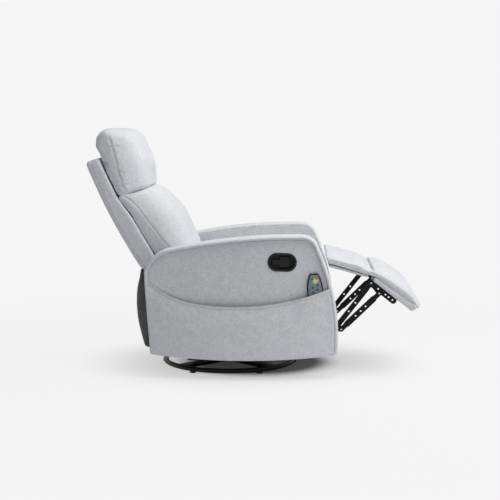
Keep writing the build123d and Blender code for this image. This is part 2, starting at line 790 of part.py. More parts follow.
def paddle_pin(clearance):
    """The paddle's hinge pin, upright at the rear of the cup."""
    pin = extrude(Plane(origin=(0, 0, -cup_height), z_dir=(0, 0, 1))
                  * Circle(paddle_pin_radius + clearance), 2 * cup_height)
    stood = bezel_plane.location * Pos(paddle_hinge, 0, paddle_mid) * Rot(-90, 0, 0) * pin
    return stood & raised(bezel_plane, cup_outside, -cup_depth, 0)


def handle_bezel():
    """A flush oval cup with a rounded lip and the paddle's pin."""
    lip = raised(bezel_plane, SlotOverall(bezel_length, bezel_height), -bezel_proud - 2, bezel_proud)
    lip = fillet(outermost_face(bezel_plane, lip).edges(), 0.6 * bezel_proud)
    lip -= bowed_side(arm_bow_radius, arm_outer - panel_inset)
    cup = raised(bezel_plane, cup_outside, -cup_depth - cup_wall, bezel_proud / 2)
    hollow = raised(bezel_plane, SlotOverall(cup_length, cup_height), -cup_depth, 30)
    return (lip + cup) - hollow + paddle_pin(0)


def release_handle():
    """The pull paddle: a stem on the hinge and a wide, dished grip."""
    half = paddle_thickness / 2
    grip_x = paddle_grip / 2 - 10
    stem_length = grip_x - paddle_hinge
    eye = extrude(Plane(origin=(0, 0, -paddle_stem / 2), z_dir=(0, 0, 1)) * Circle(half), paddle_stem)
    eye = bezel_plane.location * Pos(paddle_hinge, 0, paddle_mid) * Rot(-90, 0, 0) * eye
    stem = raised(bezel_plane, Pos(paddle_hinge + stem_length / 2, 0)
                  * Rectangle(stem_length, paddle_stem), paddle_mid - half, paddle_mid + half)
    grip = raised(bezel_plane, Pos(grip_x, 0) * RectangleRounded(paddle_grip, paddle_height, 7),
                  paddle_mid - half, paddle_mid + half)
    grip = fillet(outermost_face(bezel_plane, grip).edges(), 0.25 * paddle_thickness)
    dish = raised(bezel_plane, Pos(grip_x, 0) * RectangleRounded(paddle_grip - 16, paddle_height - 14, 5),
                  paddle_mid + half - 2.5, paddle_mid + half + 5)
    return eye + stem + grip - dish - paddle_pin(pin_clearance)


# ================================================================ remote control
remote_plane = side_plane(remote_x, remote_z, remote_tilt)
remote_back = remote_clearance
remote_front = remote_back + remote_thickness
key_places = (("power", 9, -20), ("light", -9, -22), ("back", 11, -46), ("lumbar", -10, -56),
              ("seat", 9, -66), ("leg", -9, -76), ("heat", 10, -86))


def remote_outline(grow=0.0):
    """The remote's front outline: shoulders that narrow to the top, slightly bowed sides."""
    half = remote_width / 2 + grow
    head = remote_head / 2 + 0.7 * grow
    low, high = -remote_length / 2 - grow, remote_length / 2 + grow
    shoulder = high - remote_shoulder
    waist = (low + shoulder) / 2
    slope = ((half + head) / 2 + 3, high - 0.45 * remote_shoulder)
    return outline((5 - half, low), (half - 5, low), ((half - 1, waist), (half, shoulder)),
                   (slope, (head, high)), (-head, high),
                   ((-slope[0], slope[1]), (-half, shoulder)), ((1 - half, waist), (5 - half, low)))


def remote_case():
    """The remote's black case, dished for the keypad overlay."""
    face = fillet(remote_outline().vertices(), remote_softening)
    case = raised(remote_plane, face, remote_back, remote_front)
    case = fillet(outermost_face(remote_plane, case).edges(), remote_edge_round)
    return case - raised(remote_plane, remote_outline(-remote_border),
                         remote_front - remote_overlay, remote_front + 5)


def remote_overlay_sheet():
    """The keypad overlay, with a hole for each key."""
    face = remote_outline(-remote_border)
    for _, x, z in key_places:
        face -= Pos(x, remote_length / 2 + z) * Circle(remote_key_radius + remote_key_gap)
    return raised(remote_plane, face, remote_front - remote_overlay, remote_front)


def remote_key(x, z):
    """One key, standing in its hole with room to be pressed."""
    return raised(remote_plane, Pos(x, remote_length / 2 + z) * Circle(remote_key_radius),
                  remote_front - 0.3 * remote_overlay, remote_front + remote_key_height)


# ================================================================ back
def back_profile():
    """The back shell's side outline."""
    low, middle, high = back_rear
    profile = outline(low, (middle, high), *back_front, (-262.0, 447.0), (-330.0, 428.0))
    return fillet(profile.vertices().sort_by(Axis.X)[0], back_corner)


def room_for_hinge():
    return rod_y(back_hinge, back_hinge_clear, -back_half - 5, back_half + 5)


def back_rails():
    """The wooden frame inside the back shell."""
    low, high = back_rail_ends
    length = distance(low, high)
    angle = degrees(atan2(high[1] - low[1], high[0] - low[0]))
    size = Rectangle(length, back_rail_depth)
    middle = ((low[0] + high[0]) / 2, (low[1] + high[1]) / 2)
    outer = back_half - back_rail_inset
    stile = slab(Pos(*middle) * Rot(0, 0, angle) * size, -outer, -outer + back_rail)
    frame = stile + left_of(stile)
    reach = outer - back_rail
    for step in (back_rail / 2, length * 0.5, length - back_rail / 2):
        place = along(low, high, step)
        rail = Pos(*place) * Rot(0, 0, angle) * Rectangle(back_rail, back_rail_depth)
        frame += slab(rail, -reach, reach)
    return frame


def back_bracket_plate():
    """The right steel bracket from the hinge up the back's stile."""
    hinge_x, hinge_z = back_hinge
    plate = strap(back_hinge, back_bracket_knee, 2 * side_lug_radius)
    plate += strap(back_bracket_knee, back_bracket_top, 2 * side_lug_radius)
    plate -= Pos(hinge_x, hinge_z) * Circle(recline_pin_radius + pin_clearance)
    inner = plate_outer + back_bracket_gap
    return slab(plate, -inner - back_bracket, -inner)


def recline_pin():
    """The right recline pin, held in the side plate."""
    outer = plate_outer + back_bracket_gap + back_bracket
    return (rod_y(back_hinge, recline_pin_radius, -outer - pin_head, -side_plate_inner)
            + rod_y(back_hinge, recline_pin_radius * 1.6, -outer - 0.2 - pin_head, -outer - 0.2)
            + rod_y(back_hinge, recline_pin_radius * 1.6, -side_plate_inner, -side_plate_inner + pin_head)
            + rod_y(back_hinge, recline_pin_radius * 1.6,
                    -plate_outer - back_bracket_gap + 0.2, -plate_outer))


def back_shell(inner_parts):
    """The upholstered outer back, hollow for its frame and brackets."""
    shell = slab(back_profile(), -back_half, back_half)
    ends = shell.faces().filter_by(Axis.Y).sort_by(Axis.Y)
    rear_edges = [e for face in (ends[0], ends[-1]) for e in face.edges()
                  if e.center().X < -500 or (e.center().X < -440 and e.center().Z < 700)]
    shell = fillet(rear_edges, back_edge_round)
    shell -= room_for_hinge()
    for part in inner_parts:
        shell -= part
    return shell


def pillow_profile(rear_top, top, front_top, front_low, bulge, dip):
    """A head pillow section: flat against the back, round over the top and front."""
    middle = ((front_top[0] + front_low[0]) / 2 + bulge, (front_top[1] + front_low[1]) / 2)
    crest = ((rear_top[0] + top[0]) / 2 - dip, (rear_top[1] + top[1]) / 2 + dip)
    brow = ((top[0] + front_top[0]) / 2 + dip, (top[1] + front_top[1]) / 2 + dip)
    chin = ((front_low[0] + pillow_foot[0]) / 2 + dip / 2, (front_low[1] + pillow_foot[1]) / 2 - dip)
    return outline(pillow_foot, rear_top, (crest, top), (brow, front_top), (middle, front_low),
                   (chin, pillow_foot))


def head_pillow(shell):
    """The crowned head pillow that stands over the top of the back."""
    side, near, middle = (pillow_profile(*p) for p in (pillow_side, pillow_near, pillow_middle))
    full = cushion_half - pillow_fall
    pillow = loft([section(side, -cushion_half), section(near, -full), section(middle, 0),
                   section(near, full), section(side, cushion_half)])
    return pillow - shell


def lumbar_profile(top, front_low, low, crown):
    """A back cushion section between the head pillow and the seat."""
    shoulder = ((lumbar_head[0] + top[0]) / 2 - 4, (lumbar_head[1] + top[1]) / 2 + 5)
    belly = ((top[0] + front_low[0]) / 2 + crown, (top[1] + front_low[1]) / 2 + crown * 0.72)
    tuck = ((front_low[0] + low[0]) / 2 + 6, (front_low[1] + low[1]) / 2 - 2)
    return outline(lumbar_head, (shoulder, top), (belly, front_low), (tuck, low), lumbar_rear)


def lumbar_cushion(shell, pillow):
    """The crowned back cushion, pressed against the head pillow."""
    side, near, middle = (lumbar_profile(*p) for p in (lumbar_side, lumbar_near, lumbar_middle))
    full = cushion_half - lumbar_fall
    cushion = loft([section(side, -cushion_half), section(near, -full), section(middle, 0),
                    section(near, full), section(side, cushion_half)])
    return cushion - shell - pillow - room_for_hinge()


# ================================================================ seat
seat_front = calf_hinge[0] - 2


def seat_profile(drop):
    """A seat cushion section: high at the front, falling to the back, undercut for the calf rest."""
    nose = calf_hinge[1] - 7
    return outline((seat_rear + 4, seat_base_z + 14),
                   ((seat_rear - 2, seat_heel[0]), (seat_rear + 10, seat_heel[1] - drop)),
                   ((seat_crown[0], seat_crown[1] - drop), (seat_front - 16, nose + 3 - 0.2 * drop)),
                   ((seat_front - 5, nose + 2 - 0.1 * drop), (seat_front, nose)),
                   seat_undercut, (seat_undercut[0], seat_base_z), (seat_rear + 18, seat_base_z))


def seat_cushion():
    """The crowned seat cushion, stepped in below to clear the linkage."""
    half = arm_inner - seat_arm_gap
    full = half - seat_fall
    cushion = loft([section(seat_profile(drop), y) for y, drop in (
        (-half, 14.0), (-full, 1.5), (0, 0.0), (full, 1.5), (half, 14.0))])
    step = box_between((-400, side_plate_inner - seat_side_gap, 300),
                       (600, half + 10, swing_pivot[1] + side_lug_radius + 5))
    return cushion - step - left_of(step)


# ================================================================ rear flap
def moved(place, x, z):
    """A place shifted along X and Z."""
    return place[0] + x, place[1] + z


def rear_flap():
    """The cloth panel that closes the back under the reclining part."""
    t = flap_thickness
    bulge, low = flap_bulge
    foot = (rear_rail_back, rear_rail_base + 1)
    face = outline(flap_top, (bulge, low), flap_knee, foot, moved(foot, 0, t), moved(flap_knee, t, t),
                   moved(low, t, 0), (moved(bulge, t, 0), moved(flap_top, t, 0)))
    return slab(face, -cushion_half, cushion_half)


def rear_rail():
    """The wooden rail between the arms that the flap is stapled to."""
    return box_between((rear_rail_back, -arm_inner, rear_rail_base),
                       (rear_rail_back + rear_rail_depth, arm_inner, rear_rail_base + rear_rail_height))


# ================================================================ write the parts
def build():
    """Every node of the chair by name."""
    parts = {}
    ring = base_ring()
    parts["base_ring"] = ring
    parts["base_spider"] = base_spider(ring)
    parts["base_glides"] = base_glides(ring)
    parts["lower_bearing_race"] = race(lower_race_z)
    parts["bearing_balls"] = bearing_balls()
    parts["king_bolt"] = king_bolt()
    parts["upper_bearing_race"] = race(upper_race_z)
    parts["glider_frame"] = glider_frame()
    stand = glider_stand()
    parts["glider_stand_right"], parts["glider_stand_left"] = stand, left_of(stand)
    parts["glide_upper_pins"] = both(upper_pins())
    for end, x in (("rear", -glide_pivot_x), ("front", glide_pivot_x)):
        link = glide_link(x)
        parts[f"glide_link_{end}_right"], parts[f"glide_link_{end}_left"] = link, left_of(link)
    parts["glide_lower_pins"] = both(lower_pins())

    plate = side_plate()
    parts["side_plate_right"], parts["side_plate_left"] = plate, left_of(plate)
    parts["arm_spacers"] = both(arm_spacers())
    parts["arm_bolts"] = both(arm_bolts())
    parts["cross_rails"] = Compound(children=[
        s for x in (front_rail_x, rear_rail_x) for s in rail_under_seat(x).solids()])
    parts["seat_frame"] = seat_frame()
    parts["seat_springs"] = seat_springs()
    parts["seat_cushion"] = seat_cushion()
    parts["mechanism_pins"] = Compound(children=[
        s for pin in (swing_rivet(), recline_pin()) for s in both(pin).solids()])

    rails = arm_rails()
    holes = bolt_holes()
    parts["right_arm"] = arm([rails, handle_room(), *holes])
    parts["left_arm"] = left_of(arm([rails, *holes]))
    for hole in holes:
        rails -= hole
    parts["arm_frames"] = both(rails)
    pocket = right_pocket()
    parts["right_pocket"], parts["left_pocket"] = pocket, left_of(pocket)
    parts["handle_bezel"] = handle_bezel()
    parts["release_handle"] = release_handle()
    parts["rear_rail"] = rear_rail()
    parts["rear_flap"] = rear_flap()

    for name, piece in (("lower_link", lower_link()), ("upper_link", upper_link()),
                        ("swing_link", swing_link())):
        parts[f"{name}_right"], parts[f"{name}_left"] = piece, left_of(piece)
    parts["ottoman_brackets"] = both(ottoman_bracket())
    parts["ottoman_rivets"] = both(ottoman_rivets())
    parts["calf_cushion"] = calf_cushion()
    parts["calf_board"] = calf_board_panel()
    parts["foot_cushion"] = foot_cushion()
    parts["foot_board"] = foot_board_panel()

    rails = back_rails()
    bracket = back_bracket_plate()
    shell = back_shell([rails, bracket, left_of(bracket)])
    parts["back_shell"] = shell
    parts["back_frame"] = rails - bracket - left_of(bracket)
    parts["back_brackets"] = both(bracket)
    solid_shell = slab(back_profile(), -back_half, back_half)
    pillow = head_pillow(solid_shell)
    parts["head_pillow"] = pillow
    parts["lumbar_cushion"] = lumbar_cushion(solid_shell, pillow)

    parts["remote_case"] = remote_case()
    parts["remote_overlay"] = remote_overlay_sheet()
    for name, x, z in key_places:
        parts[f"{name}_key"] = remote_key(x, z)
    return parts


if __name__ == "__main__":
    os.makedirs("parts", exist_ok=True)
    for name, part in build().items():
        part.label = name
        export_step(part, f"parts/{name}.step")
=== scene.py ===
"""Swivel glider recliner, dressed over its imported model: woven covers, steel, plastic and wood.

+X is the front of the chair, +Z is up and -Y is the sitter's right side.  Sizes are in metres.
Outlines are drawn in the XZ plane, as the chair is seen from its right side.
"""
import json
import logging
import math
from contextlib import contextmanager
from dataclasses import dataclass
from enum import Enum
from typing import Callable, Iterator, Optional, Sequence, Union
import bpy
import numpy as np
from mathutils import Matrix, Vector


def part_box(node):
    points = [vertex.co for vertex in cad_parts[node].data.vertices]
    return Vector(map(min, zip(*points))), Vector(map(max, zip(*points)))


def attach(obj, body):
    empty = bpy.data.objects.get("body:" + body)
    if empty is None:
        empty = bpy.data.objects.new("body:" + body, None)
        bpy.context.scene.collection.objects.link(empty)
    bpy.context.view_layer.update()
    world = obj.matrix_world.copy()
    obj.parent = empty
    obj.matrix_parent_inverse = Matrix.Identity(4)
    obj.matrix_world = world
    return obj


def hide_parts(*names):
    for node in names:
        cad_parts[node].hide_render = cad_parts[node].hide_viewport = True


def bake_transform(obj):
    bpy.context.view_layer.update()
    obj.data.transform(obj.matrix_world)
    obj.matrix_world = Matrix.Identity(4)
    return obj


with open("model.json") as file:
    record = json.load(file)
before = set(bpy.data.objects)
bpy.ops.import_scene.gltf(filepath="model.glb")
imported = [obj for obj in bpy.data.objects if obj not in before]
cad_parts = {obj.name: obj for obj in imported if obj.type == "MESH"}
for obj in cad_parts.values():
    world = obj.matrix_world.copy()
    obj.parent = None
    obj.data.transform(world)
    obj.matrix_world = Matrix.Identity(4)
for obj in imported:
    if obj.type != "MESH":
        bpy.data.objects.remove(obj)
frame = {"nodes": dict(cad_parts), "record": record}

log = logging.getLogger("recliner")
Point = tuple[float, float]
Test = Callable[[np.ndarray, np.ndarray], np.ndarray]
Value = Union["Socket", float]

ARC_STEPS = 64
SIDE_STEPS = 32
WAVES = 7
WAVE_RANGE = (0.6, 1.5)
WAVE_SUM = 4
DOUBLE = 1e-5


class Side(Enum):
    """A side of the chair, as the sign of its Y."""

    RIGHT = -1
    LEFT = 1

    @property
    def word(self) -> str:
        """The side's name in piece names."""
        return self.name.lower()


# ---------------------------------------------------------------- outlines
def arc(start: Point, via: Point, end: Point, count: int) -> np.ndarray:
    """Points of the circular arc through three points.

    Args:
        start: First point of the arc.
        via: A point between the ends.
        end: Last point of the arc.
        count: How many steps the arc is divided into.

    Returns:
        The points after start, end included, one a row.
    """
    (ax, az), (bx, bz), (cx, cz) = start, via, end
    d = 2 * (ax * (bz - cz) + bx * (cz - az) + cx * (az - bz))
    a2, b2, c2 = ax * ax + az * az, bx * bx + bz * bz, cx * cx + cz * cz
    ox = (a2 * (bz - cz) + b2 * (cz - az) + c2 * (az - bz)) / d
    oz = (a2 * (cx - bx) + b2 * (ax - cx) + c2 * (bx - ax)) / d
    radius = math.hypot(ax - ox, az - oz)
    first, mid, last = (math.atan2(z - oz, x - ox) for x, z in (start, via, end))
    turn = (last - first) % math.tau
    if (mid - first) % math.tau > turn:
        turn -= math.tau
    angles = first + turn * np.arange(1, count + 1) / count
    return np.stack([ox + radius * np.cos(angles), oz + radius * np.sin(angles)], axis=1)


def spaced(path: np.ndarray, count: int, closed: bool = False) -> np.ndarray:
    """Evenly spaced points along a path.

    Args:
        path: The path's points, one a row.
        count: How many points are wanted.
        closed: True where the last point joins the first.

    Returns:
        The points, one a row. An open path keeps both of its ends.
    """
    if closed:
        path = np.vstack([path, path[:1]])
    run = np.concatenate([[0.0], np.cumsum(np.linalg.norm(np.diff(path, axis=0), axis=1))])
    places = np.linspace(0, run[-1], count + 1 if closed else count)
    places = places[:count]
    return np.stack([np.interp(places, run, column) for column in path.T], axis=1)


@dataclass(frozen=True)
class Outline:
    """A path of straight sides (a point) and arcs (a pair: via, end)."""

    start: Point
    steps: tuple

    def path(self) -> np.ndarray:
        """Follows the sides and arcs.

        Returns:
            The path as fine points, its start included.
        """
        rows, here = [np.array([self.start])], self.start
        for step in self.steps:
            if isinstance(step[0], tuple):
                rows.append(arc(here, step[0], step[1], ARC_STEPS))
                here = step[1]
            else:
                share = np.linspace(0, 1, SIDE_STEPS + 1)[1:, None]
                rows.append(np.array([here]) + share * (np.array(step) - here))
                here = step
        return np.vstack(rows)


def ripple(points: np.ndarray, scale: float, seed: int) -> np.ndarray:
    """Smooth irregular waves in space, as stuffing gives to cloth.

    Args:
        points: Places, one a row.
        scale: Length of a typical wave.
        seed: Which set of waves.

    Returns:
        A height between about -1 and 1 for each place.
    """
    rng = np.random.default_rng(seed)
    total = np.zeros(len(points))
    for _ in range(WAVES):
        direction = rng.normal(size=3)
        direction *= rng.uniform(*WAVE_RANGE) * math.tau / scale / np.linalg.norm(direction)
        total += np.sin(points @ direction + rng.uniform(0, math.tau))
    return total / WAVE_SUM


# ---------------------------------------------------------------- modelling bench
class Bench:
    """Blender's modelling tools, used on one piece at a time."""

    @staticmethod
    def clear() -> None:
        """Deselects every object."""
        bpy.ops.object.select_all(action="DESELECT")

    @classmethod
    def hold(cls, obj: bpy.types.Object) -> None:
        """Makes an object the one selected and active object.

        Args:
            obj: The object.
        """
        cls.clear()
        obj.select_set(True)
        bpy.context.view_layer.objects.active = obj

    @classmethod
    def add(cls, kind: str, name: str, **sizes: object) -> bpy.types.Object:
        """Adds a mesh primitive.

        Args:
            kind: Blender's name of the primitive, such as "cylinder".
            name: Name of the new piece.
            **sizes: The primitive's own settings.

        Returns:
            The new object, alone in the selection.
        """
        cls.clear()
        getattr(bpy.ops.mesh, f"primitive_{kind}_add")(**sizes)
        obj = bpy.context.object
        obj.name = obj.data.name = name
        return obj

    @classmethod
    @contextmanager
    def edit(cls, obj: bpy.types.Object, mode: str = "FACE") -> Iterator[None]:
        """Edit mode on an object, with the selection that pick() left.

        Args:
            obj: The object.
            mode: What is selected: VERT, EDGE or FACE.

        Yields:
            Nothing, while edit mode lasts.
        """
        cls.hold(obj)
        modes = tuple(mode == word for word in ("VERT", "EDGE", "FACE"))
        bpy.context.tool_settings.mesh_select_mode = modes
        bpy.ops.object.mode_set(mode="EDIT")
        try:
            yield
        finally:
            bpy.ops.object.mode_set(mode="OBJECT")

    @staticmethod
    def points(obj: bpy.types.Object) -> np.ndarray:
        """Reads the places of a mesh.

        Args:
            obj: The mesh's object.

        Returns:
            Its vertices, one a row.
        """
        flat = np.empty(3 * len(obj.data.vertices))
        obj.data.vertices.foreach_get("co", flat)
        return flat.reshape(-1, 3)

    @staticmethod
    def place(obj: bpy.types.Object, points: np.ndarray) -> None:
        """Moves the mesh's vertices to points."""
        obj.data.vertices.foreach_set("co", np.ascontiguousarray(points, np.float32).ravel())
        obj.data.update()

    @staticmethod
    def normals(obj: bpy.types.Object) -> np.ndarray:
        """Reads the outward directions of a mesh.

        Args:
            obj: The mesh's object.

        Returns:
            Its vertex normals, one a row.
        """
        flat = np.empty(3 * len(obj.data.vertices), np.float32)
        obj.data.vertex_normals.foreach_get("vector", flat)
        return flat.reshape(-1, 3).astype(float)

    @staticmethod
    def pick(obj: bpy.types.Object, test: Test) -> None:
        """Selects the faces that pass a test, and no others.

        Args:
            obj: The mesh's object.
            test: Tells from the faces' centres and normals which are chosen.
        """
        mesh, count = obj.data, len(obj.data.polygons)
        centres, normals = np.empty(3 * count), np.empty(3 * count)
        mesh.polygons.foreach_get("center", centres)
        mesh.polygons.foreach_get("normal", normals)
        mesh.vertices.foreach_set("select", np.zeros(len(mesh.vertices), bool))
        mesh.edges.foreach_set("select", np.zeros(len(mesh.edges), bool))
        mesh.polygons.foreach_set("select", test(centres.reshape(-1, 3), normals.reshape(-1, 3)))

    @staticmethod
    def pick_edges(obj: bpy.types.Object, test: Test) -> None:
        """Selects the edges that pass a test, and no others.

        Args:
            obj: The mesh's object.
            test: Tells from the edges' first and second ends which are chosen.
        """
        mesh = obj.data
        pairs = np.empty(2 * len(mesh.edges), int)
        mesh.edges.foreach_get("vertices", pairs)
        ends = Bench.points(obj)[pairs.reshape(-1, 2)]
        mesh.vertices.foreach_set("select", np.zeros(len(mesh.vertices), bool))
        mesh.polygons.foreach_set("select", np.zeros(len(mesh.polygons), bool))
        mesh.edges.foreach_set("select", test(ends[:, 0], ends[:, 1]))

    @classmethod
    def modify(cls, obj: bpy.types.Object, kind: str, **settings: object) -> None:
        """Adds a modifier and applies it.

        Args:
            obj: The object.
            kind: The modifier's type.
            **settings: The modifier's own settings.
        """
        cls.hold(obj)
        modifier = obj.modifiers.new(kind.title(), kind)
        for key, value in settings.items():
            setattr(modifier, key, value)
        bpy.ops.object.modifier_apply(modifier=modifier.name)

    @classmethod
    def face_out(cls, obj: bpy.types.Object) -> None:
        """Points every face outwards.

        Args:
            obj: The object.
        """
        with cls.edit(obj):
            bpy.ops.mesh.select_all(action="SELECT")
            bpy.ops.mesh.normals_make_consistent(inside=False)

    @classmethod
    def flip(cls, obj: bpy.types.Object) -> None:
        """Turns every face round.

        Args:
            obj: The object.
        """
        with cls.edit(obj):
            bpy.ops.mesh.select_all(action="SELECT")
            bpy.ops.mesh.flip_normals()

    @classmethod
    def to_left(cls, obj: bpy.types.Object, gap: float) -> None:
        """Mirrors a piece of the right side to the left side."""
        cls.place(obj, cls.points(obj) * np.array([1, -1, 1]))
        cls.close(obj, gap)

    @classmethod
    def close(cls, obj: bpy.types.Object, gap: float = DOUBLE) -> None:
        """Merges doubled vertices and points every face outwards.

        Args:
            obj: The object.
            gap: Vertices nearer than this are one.
        """
        with cls.edit(obj, "VERT"):
            bpy.ops.mesh.select_all(action="SELECT")
            bpy.ops.mesh.remove_doubles(threshold=gap)
            bpy.ops.mesh.normals_make_consistent(inside=False)

    @classmethod
    def smooth(cls, obj: bpy.types.Object, angle: Optional[float] = None) -> None:
        """Shades an object smooth.

        Args:
            obj: The object.
            angle: Edges sharper than this many degrees stay hard.
        """
        cls.hold(obj)
        if angle is None:
            bpy.ops.object.shade_smooth()
        else:
            bpy.ops.object.shade_smooth_by_angle(angle=math.radians(angle))

    @classmethod
    def join(cls, pieces: Sequence[bpy.types.Object], name: str) -> bpy.types.Object:
        """Joins pieces into one.

        Args:
            pieces: The pieces.
            name: Name of the joined piece.

        Returns:
            The first of the pieces, which holds them all.
        """
        cls.clear()
        for piece in pieces:
            piece.select_set(True)
        bpy.context.view_layer.objects.active = pieces[0]
        bpy.ops.object.join()
        pieces[0].name = pieces[0].data.name = name
        return pieces[0]

    @classmethod
    def copy_of(cls, node: str, name: str) -> bpy.types.Object:
        """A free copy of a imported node's mesh, with its loose triangles merged.

        Args:
            node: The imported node.
            name: Name of the copy.

        Returns:
            The copy.
        """
        obj = bpy.data.objects.new(name, frame["nodes"][node].data.copy())
        bpy.context.scene.collection.objects.link(obj)
        obj.data.materials.clear()
        with cls.edit(obj, "VERT"):
            bpy.ops.mesh.select_all(action="SELECT")
            bpy.ops.mesh.remove_doubles(threshold=DOUBLE)
        if obj.data.has_custom_normals:
            cls.hold(obj)
            bpy.ops.mesh.customdata_custom_splitnormals_clear()
        return obj

    @staticmethod
    def report(obj: bpy.types.Object) -> bpy.types.Object:
        """Writes a finished piece's name and size to the log.

        Args:
            obj: The piece.

        Returns:
            The same piece.
        """
        log.info("%s: %d faces", obj.name, len(obj.data.polygons))
        return obj


# ---------------------------------------------------------------- shaders
class Socket:
    """One value of a shader; Python's operators on it add Math nodes."""

    def __init__(self, shader: "Shader", link: bpy.types.NodeSocket) -> None:
        """Wraps link, an output of one of shader's nodes."""
        self.shader = shader
        self.link = link

    def _math(self, operation: str, *values: Value) -> "Socket":
        """A Math node on values."""
        return self.shader.node("ShaderNodeMath", {"operation": operation}, dict(enumerate(values)))

    def __add__(self, other: Value) -> "Socket":
        """Sum."""
        return self._math("ADD", self, other)

    __radd__ = __add__

    def __mul__(self, other: Value) -> "Socket":
        """Product."""
        return self._math("MULTIPLY", self, other)

    __rmul__ = __mul__

    def __sub__(self, other: Value) -> "Socket":
        """Difference."""
        return self._math("SUBTRACT", self, other)

    def __rsub__(self, other: float) -> "Socket":
        """Difference from a number."""
        return self._math("SUBTRACT", other, self)

    def sine(self) -> "Socket":
        """Sine, of an angle in radians."""
        return self._math("SINE", self)

    def root(self) -> "Socket":
        """Square root."""
        return self._math("SQRT", self)

    def above(self, low: float, high: float) -> "Socket":
        """0 below low, 1 above high, smooth in between."""
        return self.shader.node("ShaderNodeMapRange", {"interpolation_type": "SMOOTHSTEP"},
                                {"Value": self, "From Min": low, "From Max": high})


class Shader:
    """The nodes of one material."""

    def __init__(self, name: str) -> None:
        """Starts a material.

        Args:
            name: The material's name.
        """
        self.material = bpy.data.materials.new(name)
        self.material.use_nodes = True
        self.material.node_tree.nodes.clear()
        self.place = self.node("ShaderNodeTexCoord", out="Object")

    def node(self, kind: str, settings: Optional[dict] = None, inputs: Optional[dict] = None,
             out: Union[int, str] = 0) -> Socket:
        """Adds a node.

        Args:
            kind: The node's type.
            settings: Its own settings, set before its sockets.
            inputs: Values or Sockets by socket name or number.
            out: Which output is returned.

        Returns:
            The chosen output.
        """
        made = self.material.node_tree.nodes.new(kind)
        for key, value in (settings or {}).items():
            if key == "stops":
                self._stops(made, value)
            else:
                setattr(made, key, value)
        for key, value in (inputs or {}).items():
            if isinstance(value, Socket):
                self.material.node_tree.links.new(value.link, made.inputs[key])
            else:
                made.inputs[key].default_value = value
        return Socket(self, made.outputs[out]) if made.outputs else Socket(self, None)

    @staticmethod
    def _stops(ramp: bpy.types.Node, stops: Sequence[tuple]) -> None:
        """Sets a colour ramp's stops.

        Args:
            ramp: The ramp's node.
            stops: A place and a colour each.
        """
        elements = ramp.color_ramp.elements
        while len(elements) > 1:
            elements.remove(elements[-1])
        elements[0].position, elements[0].color = stops[0][0], (*stops[0][1], 1)
        for at, colour in stops[1:]:
            elements.new(at).color = (*colour, 1)

    def noise(self, scale: float, detail: float = 3.0, at: Optional[Socket] = None) -> Socket:
        """Fractal noise between 0 and 1, scale to the metre."""
        return self.node("ShaderNodeTexNoise", None,
                         {"Vector": at or self.place, "Scale": scale, "Detail": detail}, out="Fac")

    def stretched(self, x: float, y: float, z: float) -> Socket:
        """Object coordinates, scaled along each axis."""
        return self.node("ShaderNodeMapping", None, {"Vector": self.place, "Scale": (x, y, z)})

    def parts(self, vector: Socket) -> tuple[Socket, Socket, Socket]:
        """Splits a vector.

        Args:
            vector: The vector.

        Returns:
            Its three numbers.
        """
        node = self.material.node_tree.nodes.new("ShaderNodeSeparateXYZ")
        self.material.node_tree.links.new(vector.link, node.inputs[0])
        return tuple(Socket(self, out) for out in node.outputs)

    def mix(self, factor: Union[Socket, float], first: Union[Socket, tuple],
            second: Union[Socket, tuple]) -> Socket:
        """A colour between two, by factor."""
        values = [v if isinstance(v, Socket) else (*v, 1) for v in (first, second)]
        return self.node("ShaderNodeMix", {"data_type": "RGBA"},
                         {0: factor, 6: values[0], 7: values[1]}, out=2)

    def bump(self, height: Socket, strength: float, distance: float) -> Socket:
        """A normal from a height between 0 and 1 that stands for distance metres."""
        return self.node("ShaderNodeBump", None,
                         {"Height": height, "Strength": strength, "Distance": distance},
                         out="Normal")

    def surface(self, **sockets: Union[Socket, float, tuple]) -> bpy.types.Material:
        """Ends the material in a Principled surface.

        Args:
            **sockets: The surface's sockets, with _ for a space in the name.

        Returns:
            The finished material.
        """
        values = {key.replace("_", " "): value for key, value in sockets.items()}
        shine = self.node("ShaderNodeBsdfPrincipled", None, values)
        self.node("ShaderNodeOutputMaterial", None, {"Surface": shine})
        return self.material


@dataclass(frozen=True)
class WovenCover:
    """Plain woven upholstery cloth with uneven melange yarns."""

    name: str
    colour: tuple = (0.735, 0.740, 0.765)
    depth: float = 0.23
    yarn: float = 0.0011
    blotch: float = 0.5
    sheen: float = 0.2
    wander: float = 1.6
    lightest: float = 0.4

    def material(self) -> bpy.types.Material:
        """Makes the cloth; its weave follows whichever way a surface faces.

        Returns:
            The finished material.
        """
        s = Shader(self.name)
        crooked = s.noise(260, 2) * self.wander
        turn = math.tau / (2 * self.yarn)
        x, y, z = ((c * turn + crooked).sine() for c in s.parts(s.place))
        nx, ny, nz = (n * n for n in s.parts(s.node("ShaderNodeTexCoord", out="Normal")))
        weave = (ny * x * z + nz * x * y + nx * y * z) * 0.5 + 0.5
        across, along = s.stretched(60, 330, 330), s.stretched(330, 330, 60)
        slubs = (s.noise(1, 2, across) + s.noise(1, 2, along)) * 0.5
        blotches = s.noise(95, 3) * 0.6 + s.noise(30, 3) * 0.4
        shade = ((weave - 0.5) * 0.22 + (slubs - 0.5) * 1.3
                 + (blotches - 0.5) * 1.7 * self.blotch + 0.5)
        dark = tuple(c * (1 - self.depth) for c in self.colour)
        light = tuple(min(1.0, c * (1 + self.lightest * self.depth)) for c in self.colour)
        colour = s.mix(shade.above(0.0, 1.0), dark, light)
        return s.surface(Base_Color=colour, Roughness=0.93, Specular_IOR_Level=0.15,
                         Sheen_Weight=self.sheen, Sheen_Roughness=0.5,
                         Normal=s.bump(weave * 0.6 + slubs * 0.6, 0.35, 0.0004))


